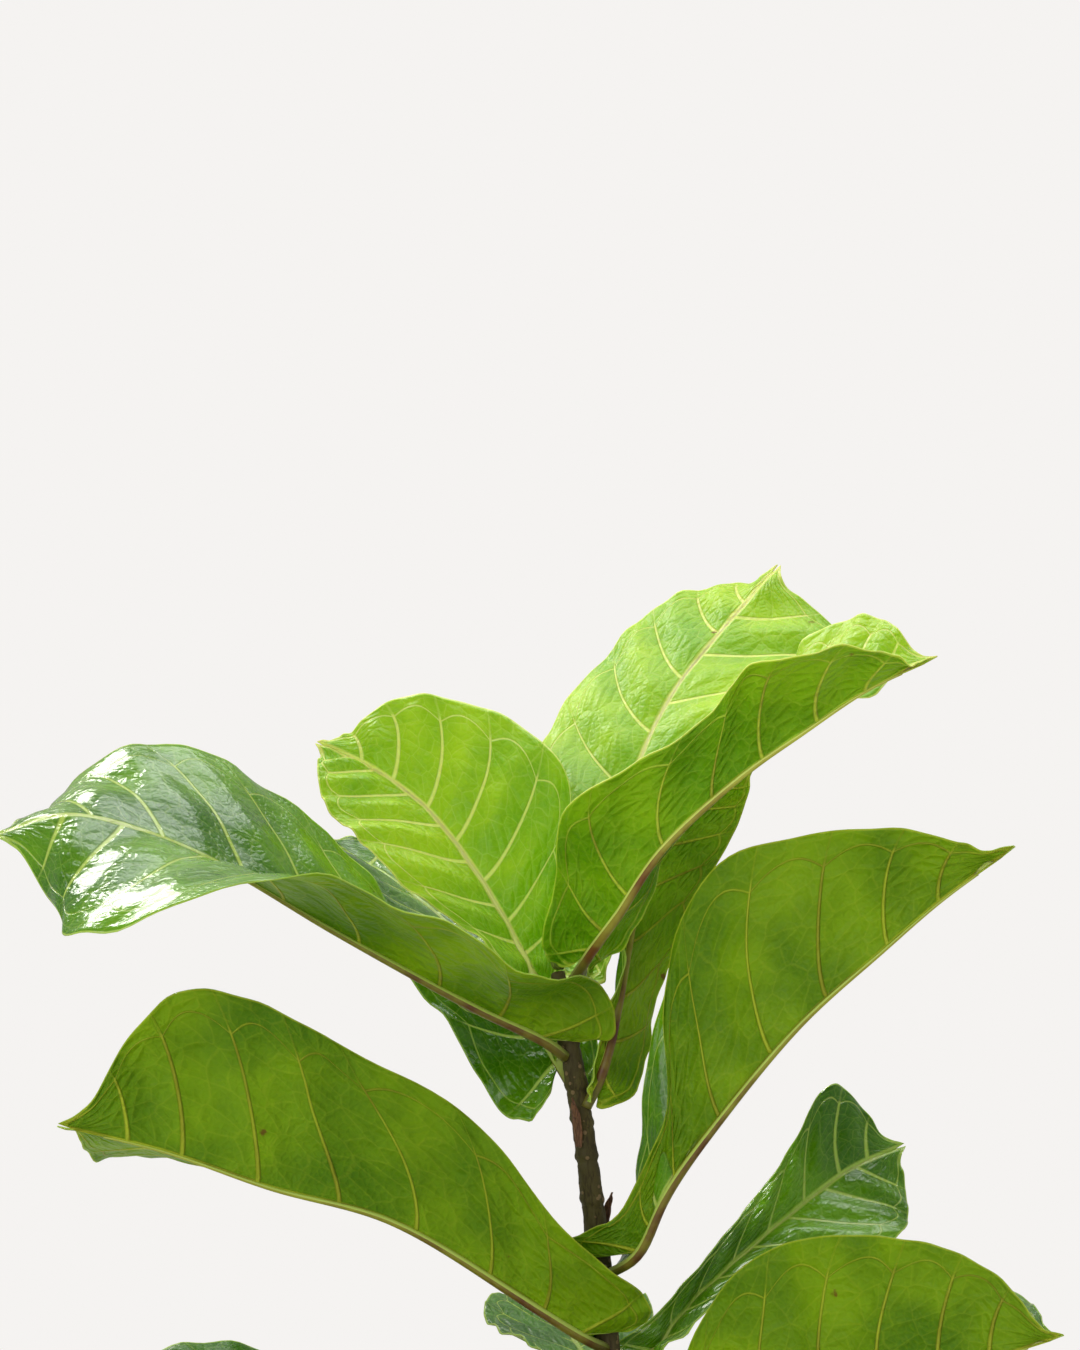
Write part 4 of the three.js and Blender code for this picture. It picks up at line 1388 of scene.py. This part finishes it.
@dataclass
class Soil:
    """Mounded potting soil with a crumbly top and loose crumbs on it."""

    pot: Pot
    top: float = 91 * MM
    mound: float = 5 * MM
    gap: float = 0.6 * MM
    voxel: float = 1.9 * MM
    crumbs: int = 420
    crumb_seed: int = 11
    crumb_rise: float = 0.3 * MM
    # Smallest and largest half width of a crumb, in millimetres.
    crumb_sizes: tuple[float, float] = (0.9, 2.6)
    # Name, size and strength of each layer of lumps on the crown.
    lumps: tuple[tuple[str, float, float], ...] = (
        ("clods", 12 * MM, 4.5 * MM), ("grit", 3.5 * MM, 2.4 * MM))

    def radius(self, height: float) -> float:
        """Returns the soil's radius at a height."""
        return self.pot.outer(height) - self.pot.wall - self.gap

    def build(self, earth: bpy.types.Material, crumb: bpy.types.Material) -> None:
        """Makes the soil and its crumbs.

        Args:
            earth: The soil's material.
            crumb: The crumbs' material.
        """
        low = self.pot.floor + 0.4 * MM
        wide = self.radius(self.top)
        piece = Bench.turned("potting_soil", 64, [
            (self.radius(low) - 3 * MM, low), (self.radius(low + 4 * MM) - 0.5 * MM, low + 4 * MM),
            (wide, self.top), (0.8 * wide, self.top + 0.2 * self.mound),
            (0.45 * wide, self.top + 0.75 * self.mound), (0.1 * wide, self.top + self.mound)])
        Bench.apply(piece, "REMESH", mode="VOXEL", voxel_size=self.voxel)
        places = Bench.coordinates(piece)
        radial = np.hypot(places[:, 0], places[:, 1])
        crown = np.clip((places[:, 2] - self.top + 2.5 * MM) / (2 * MM), 0, 1)
        crown *= np.clip((wide - radial) / (3 * MM), 0.15, 1)
        group = piece.vertex_groups.new(name="crown")
        for index in np.nonzero(crown > 0)[0].tolist():
            group.add([index], float(crown[index]), "REPLACE")
        for name, size, strength in self.lumps:
            Bench.apply(piece, "DISPLACE", texture=Bench.lumps(name, size, 3), strength=strength,
                        mid_level=0.5, vertex_group="crown", texture_coords="LOCAL",
                        direction="Z")
        Bench.smooth(piece, 60)
        Bench.finish(piece, [earth], "soil", "soil")
        self.scatter(Bench.coordinates(piece), wide, crumb)

    def scatter(self, ground: Points, wide: float, crumb: bpy.types.Material) -> None:
        """Lays loose crumbs on the soil.

        Args:
            ground: The soil's vertex places.
            wide: The radius of the soil's top.
            crumb: The crumbs' material.
        """
        random = np.random.default_rng(self.crumb_seed)
        ground = ground[ground[:, 2] > self.top - 1 * MM]
        ground = ground[np.hypot(ground[:, 0], ground[:, 1]) < wide - 4 * MM]
        Bench.clear()
        bpy.ops.mesh.primitive_ico_sphere_add(subdivisions=1, radius=1)
        pattern = bpy.context.object
        shape = Bench.coordinates(pattern)
        copies = []
        for spot in random.choice(ground, self.crumbs, replace=False):
            copy = pattern.copy()
            copy.data = pattern.data.copy()
            bpy.context.scene.collection.objects.link(copy)
            size = random.uniform(*self.crumb_sizes) * MM
            size = size * np.array([1, random.uniform(0.5, 1), 0.6])
            turn = random.uniform(0, 2 * math.pi)
            rough = shape * random.uniform(0.75, 1.15, (len(shape), 1)) * size
            spin = turn_about_z(turn)
            Bench.move(copy, rough @ spin.T + spot + np.array([0, 0, self.crumb_rise]))
            copies.append(copy)
        bpy.data.objects.remove(pattern)
        Bench.pick(copies[0])
        for copy in copies:
            copy.select_set(True)
        bpy.ops.object.join()
        piece = bpy.context.object
        piece.name = piece.data.name = "soil_crumbs"
        Bench.smooth(piece, 25)
        Bench.finish(piece, [crumb], "soil")


@dataclass
class Stem:
    """The trunk with its surface roots, leaf scars and swollen nodes."""

    voxel: float = 1.05 * MM
    scars: tuple[float, ...] = (0.112, 0.124, 0.139, 0.151, 0.168, 0.187, 0.2, 0.215, 0.233,
                                0.249, 0.268, 0.277, 0.296, 0.312, 0.329, 0.343, 0.357, 0.374)
    reach: float = 11 * MM
    slices: int = 60
    root_spread: float = 0.045      # points farther out than this belong to the roots
    scar_tilt: float = 0.12

    def build(self, bark: bpy.types.Material) -> None:
        """Makes the stem from a copy of the frame's own.

        Args:
            bark: The stem's material.
        """
        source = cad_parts["stem"]
        piece = bpy.data.objects.new("trunk_and_roots", source.data.copy())
        piece.data.materials.clear()
        bpy.context.scene.collection.objects.link(piece)
        Bench.pick(piece)
        bpy.ops.object.mode_set(mode="EDIT")
        bpy.ops.mesh.select_all(action="SELECT")
        bpy.ops.mesh.remove_doubles(threshold=0.01 * MM)
        bpy.ops.object.mode_set(mode="OBJECT")
        Bench.apply(piece, "REMESH", mode="VOXEL", voxel_size=self.voxel)
        Bench.apply(piece, "SMOOTH", factor=0.5, iterations=9)
        Bench.apply(piece, "DISPLACE", texture=Bench.lumps("bark", 7 * MM, 2),
                    strength=1.0 * MM, mid_level=0.45, texture_coords="LOCAL")
        self.mark(piece)
        Bench.smooth(piece, 60)
        Bench.finish(piece, [bark], "bark", "stem")

    def mark(self, piece: bpy.types.Object) -> None:
        """Raises a ring with a groove under it at each leaf scar.

        Args:
            piece: The stem.
        """
        places = Bench.coordinates(piece)
        height = places[:, 2]
        bins = np.linspace(height.min(), height.max(), self.slices)
        which = np.digitize(height, bins)
        near = np.hypot(places[:, 0], places[:, 1]) < self.root_spread
        cuts = [places[(which == k) & near, :2] for k in range(1, len(bins) + 1)]
        centres = np.array([cut.mean(0) if len(cut) else (0, 0) for cut in cuts])
        axis = np.stack([np.interp(height, bins, centres[:, side]) for side in range(2)], -1)
        spoke = places[:, :2] - axis
        radius = np.maximum(np.linalg.norm(spoke, axis=1), 1e-6)
        swell = np.zeros(len(places))
        for number, scar in enumerate(self.scars):
            facing = np.arctan2(spoke[:, 1], spoke[:, 0]) + GOLDEN_TURN * number
            tilt = self.scar_tilt * np.sin(facing) * radius
            off = (height - scar - tilt) / MM
            ring = 0.5 * np.exp(-(off / 1.4) ** 2)
            groove = 0.35 * np.exp(-((off + 2.2) / 0.9) ** 2)
            swell += ring - groove
        swell *= np.clip((self.reach - radius) / (2 * MM), 0, 1) * MM
        places[:, :2] += spoke / radius[:, None] * swell[:, None]
        Bench.move(piece, places)


@dataclass
class Bud:
    """The pointed growing tip, wrapped in two sheaths."""

    rings: tuple[tuple[float, float], ...] = (
        (0.7, 0), (0.95, 0.1), (1, 0.24), (0.93, 0.4), (0.78, 0.56), (0.56, 0.72), (0.34, 0.86),
        (0.13, 0.96), (0.03, 1))
    radius: float = 2.7 * MM
    twist: float = 2.2
    seam_place: float = 3.0
    seam_width: float = 0.25
    lean: float = -0.16

    def build(self, sheath: bpy.types.Material) -> None:
        """Makes the bud over the frame's own.

        Args:
            sheath: The bud's material.
        """
        low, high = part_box("terminal_bud")
        length = high.z - low.z
        outline = [(r * self.radius, h * length) for r, h in self.rings]
        piece = Bench.turned("growing_tip", 32, outline)
        places = Bench.coordinates(piece)
        turn = np.arctan2(places[:, 1], places[:, 0]) + places[:, 2] / length * self.twist
        off_seam = np.mod(turn, 2 * math.pi) - self.seam_place
        seam = 0.12 * np.exp(-(off_seam / self.seam_width) ** 2)
        fold = 1 + 0.09 * np.cos(2 * turn) - seam
        places[:, :2] *= fold[:, None]
        lean = Vector((self.lean, 0.0)) * length
        rise = places[:, 2:] / length
        places[:, :2] += rise * np.array([lean.x, lean.y])
        foot = np.array([(low.x + high.x) / 2 - lean.x / 2, (low.y + high.y) / 2, low.z])
        Bench.move(piece, places + foot)
        Bench.apply(piece, "SUBSURF", levels=1, render_levels=1)
        Bench.smooth(piece, 60)
        Bench.finish(piece, [sheath], "bud", "terminal_bud")


@dataclass
class Stipule:
    """One dried papery scale that a leaf bud left on the stem."""

    node: str
    turn: float
    width: float = 5 * MM
    thickness: float = 0.35 * MM
    columns: int = 10
    rows: int = 26
    cup: float = 0.55
    fray: float = 0.35 * MM
    lean: float = 0.24

    def build(self, husk: bpy.types.Material) -> None:
        """Makes the scale over the frame's own.

        Args:
            husk: The scale's material.
        """
        low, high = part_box(self.node)
        length = high.z - low.z
        Bench.clear()
        bpy.ops.mesh.primitive_grid_add(x_subdivisions=self.columns, y_subdivisions=self.rows,
                                        size=1)
        piece = bpy.context.object
        piece.name = piece.data.name = self.node + "_scale"
        places = Bench.coordinates(piece)
        across, along = 2 * places[:, 0], places[:, 1] + 0.5
        half = 0.5 * self.width * (0.55 + 0.75 * along) * np.clip(1 - along ** 2.6, 0.04, 1)
        x = across * half
        cup = self.cup * half * across ** 2
        fray = self.fray * np.sin(17 * along + 3 * across) * along
        lean = self.lean * length * along ** 1.5
        scale = np.stack([x, -(lean - cup) + fray, along * length], 1)
        scale = scale @ turn_about_z(self.turn).T
        middle = (scale.min(0) + scale.max(0)) / 2
        target = (np.array(low) + np.array(high)) / 2
        scale[:, :2] += (target - middle)[:2]
        scale[:, 2] += low.z - scale[:, 2].min()
        Bench.move(piece, scale)
        Bench.apply(piece, "SOLIDIFY", thickness=self.thickness, offset=0.0)
        Bench.smooth(piece, 60)
        Bench.finish(piece, [husk], "dry_scale", self.node)


# ---- studio --------------------------------------------------------------------------


@dataclass(frozen=True)
class Lamp:
    """One soft lamp of the studio."""

    name: str
    place: tuple[float, float, float]
    size: float
    power: float
    tint: tuple[float, float, float] = (1.0, 1.0, 1.0)


@dataclass
class Studio:
    """Camera, lamps, pale surroundings and floor."""

    aim: tuple[float, float, float] = (-0.032, 0.0, 0.520)
    distance: float = 1.5
    elevation: float = -5.0
    lens: float = 100.0
    ambient: float = 0.5
    lamps: tuple[Lamp, ...] = (
        Lamp("sun_side", (-0.75, 0.95, 1.75), 0.5, 13.0, (1.0, 0.98, 0.93)),
        Lamp("sky_window", (0.1, 0.5, 1.9), 1.1, 12.0, (0.98, 0.99, 1.0)),
        Lamp("front_fill", (-0.9, -1.5, 0.9), 1.2, 11.0),
    )
    lamp_aim: tuple[float, float, float] = (-0.03, 0.0, 0.42)
    floor_radius: float = 1.25

    def build(self) -> None:
        """Sets the whole studio."""
        self.camera()
        for lamp in self.lamps:
            self.light(lamp)
        self.surroundings()
        self.floor()

    def camera(self) -> None:
        """Places the camera."""
        data = bpy.data.cameras.new("camera")
        data.lens = self.lens
        data.clip_start = 0.01
        data.clip_end = 20
        camera = bpy.data.objects.new("camera", data)
        tilt = math.radians(self.elevation)
        back = Vector((0, -math.cos(tilt), math.sin(tilt)))
        camera.location = Vector(self.aim) + back * self.distance
        camera.rotation_mode = "QUATERNION"
        camera.rotation_quaternion = (-back).to_track_quat("-Z", "Y")
        bpy.context.scene.collection.objects.link(camera)
        bpy.context.scene.camera = camera

    def light(self, lamp: Lamp) -> None:
        """Places one soft lamp, turned to the top of the plant.

        Args:
            lamp: The lamp's plan.
        """
        data = bpy.data.lights.new(lamp.name, "AREA")
        data.shape = "DISK"
        data.size = lamp.size
        data.energy = lamp.power
        data.color = lamp.tint
        holder = bpy.data.objects.new(lamp.name, data)
        holder.location = lamp.place
        toward = Vector(self.lamp_aim) - Vector(lamp.place)
        holder.rotation_euler = toward.to_track_quat("-Z", "Y").to_euler()
        bpy.context.scene.collection.objects.link(holder)

    def surroundings(self) -> None:
        """Makes the pale surroundings, seen brighter than they light the plant."""
        world = bpy.data.worlds.new("pale_room")
        world.use_nodes = True
        bpy.context.scene.world = world
        bpy.context.scene.view_settings.view_transform = "Standard"
        sheet = Sheet(world.node_tree)
        background = next(n for n in world.node_tree.nodes if n.type == "BACKGROUND")
        background.inputs["Color"].default_value = paint(245, 243, 241)
        seen = sheet.add("ShaderNodeLightPath").outputs["Is Camera Ray"]
        strength = sheet.math("MULTIPLY_ADD", seen, 1 - self.ambient, self.ambient)
        sheet.feed(background.inputs["Strength"], strength)

    def floor(self) -> None:
        """Lays a plain pale floor under the pot."""
        Bench.clear()
        bpy.ops.mesh.primitive_circle_add(vertices=128, radius=self.floor_radius,
                                          fill_type="NGON", location=(0, 0, -0.5 * MM))
        floor = bpy.context.object
        floor.name = "floor"
        material, sheet, shader = new_material("pale_floor", {"Roughness": 0.8})
        soft = sheet.fade(sheet.noise(sheet.place(), 3.0, 2.0), 0.3, 0.7)
        colour = sheet.blend(soft, paint(236, 234, 231), paint(240, 238, 235))
        sheet.feed(shader.inputs["Base Color"], colour)
        floor.data.materials.append(material)


# ---- the plant -----------------------------------------------------------------------


@dataclass
class FiddleLeafFig:
    """The whole potted plant."""

    def build(self) -> None:
        """Makes every piece in order."""
        pot = Pot()
        pot.build(ClayFinish().build())
        earth = EarthFinish("potting_soil", paint(74, 54, 38), paint(34, 24, 17))
        crumb = EarthFinish("soil_crumb", paint(92, 66, 44), paint(42, 29, 20), 500.0)
        Soil(pot).build(earth.build(), crumb.build())
        Stem().build(BarkFinish().build())
        sheath = HuskFinish("bud_sheath", paint(150, 162, 70), paint(104, 110, 40), 0.45)
        Bud().build(sheath.build())
        husk = HuskFinish("dry_husk", paint(134, 92, 56), paint(70, 42, 24)).build()
        for number, turn in enumerate((-0.5, 2.4, 1.9, -2.2), 1):
            Stipule(f"stipule_{number}", turn).build(husk)
        finishes = {age: LeafFinish(age) for age in LeafAge}
        for seed, plan in enumerate(PLANS):
            Leaf(plan, finishes[plan.age], seed).build()


def main() -> None:
    """Builds the studio and the plant."""
    logging.basicConfig(level=logging.INFO, format="%(name)s %(message)s")
    Studio().build()
    FiddleLeafFig().build()
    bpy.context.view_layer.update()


if __name__ == "__main__":
    main()
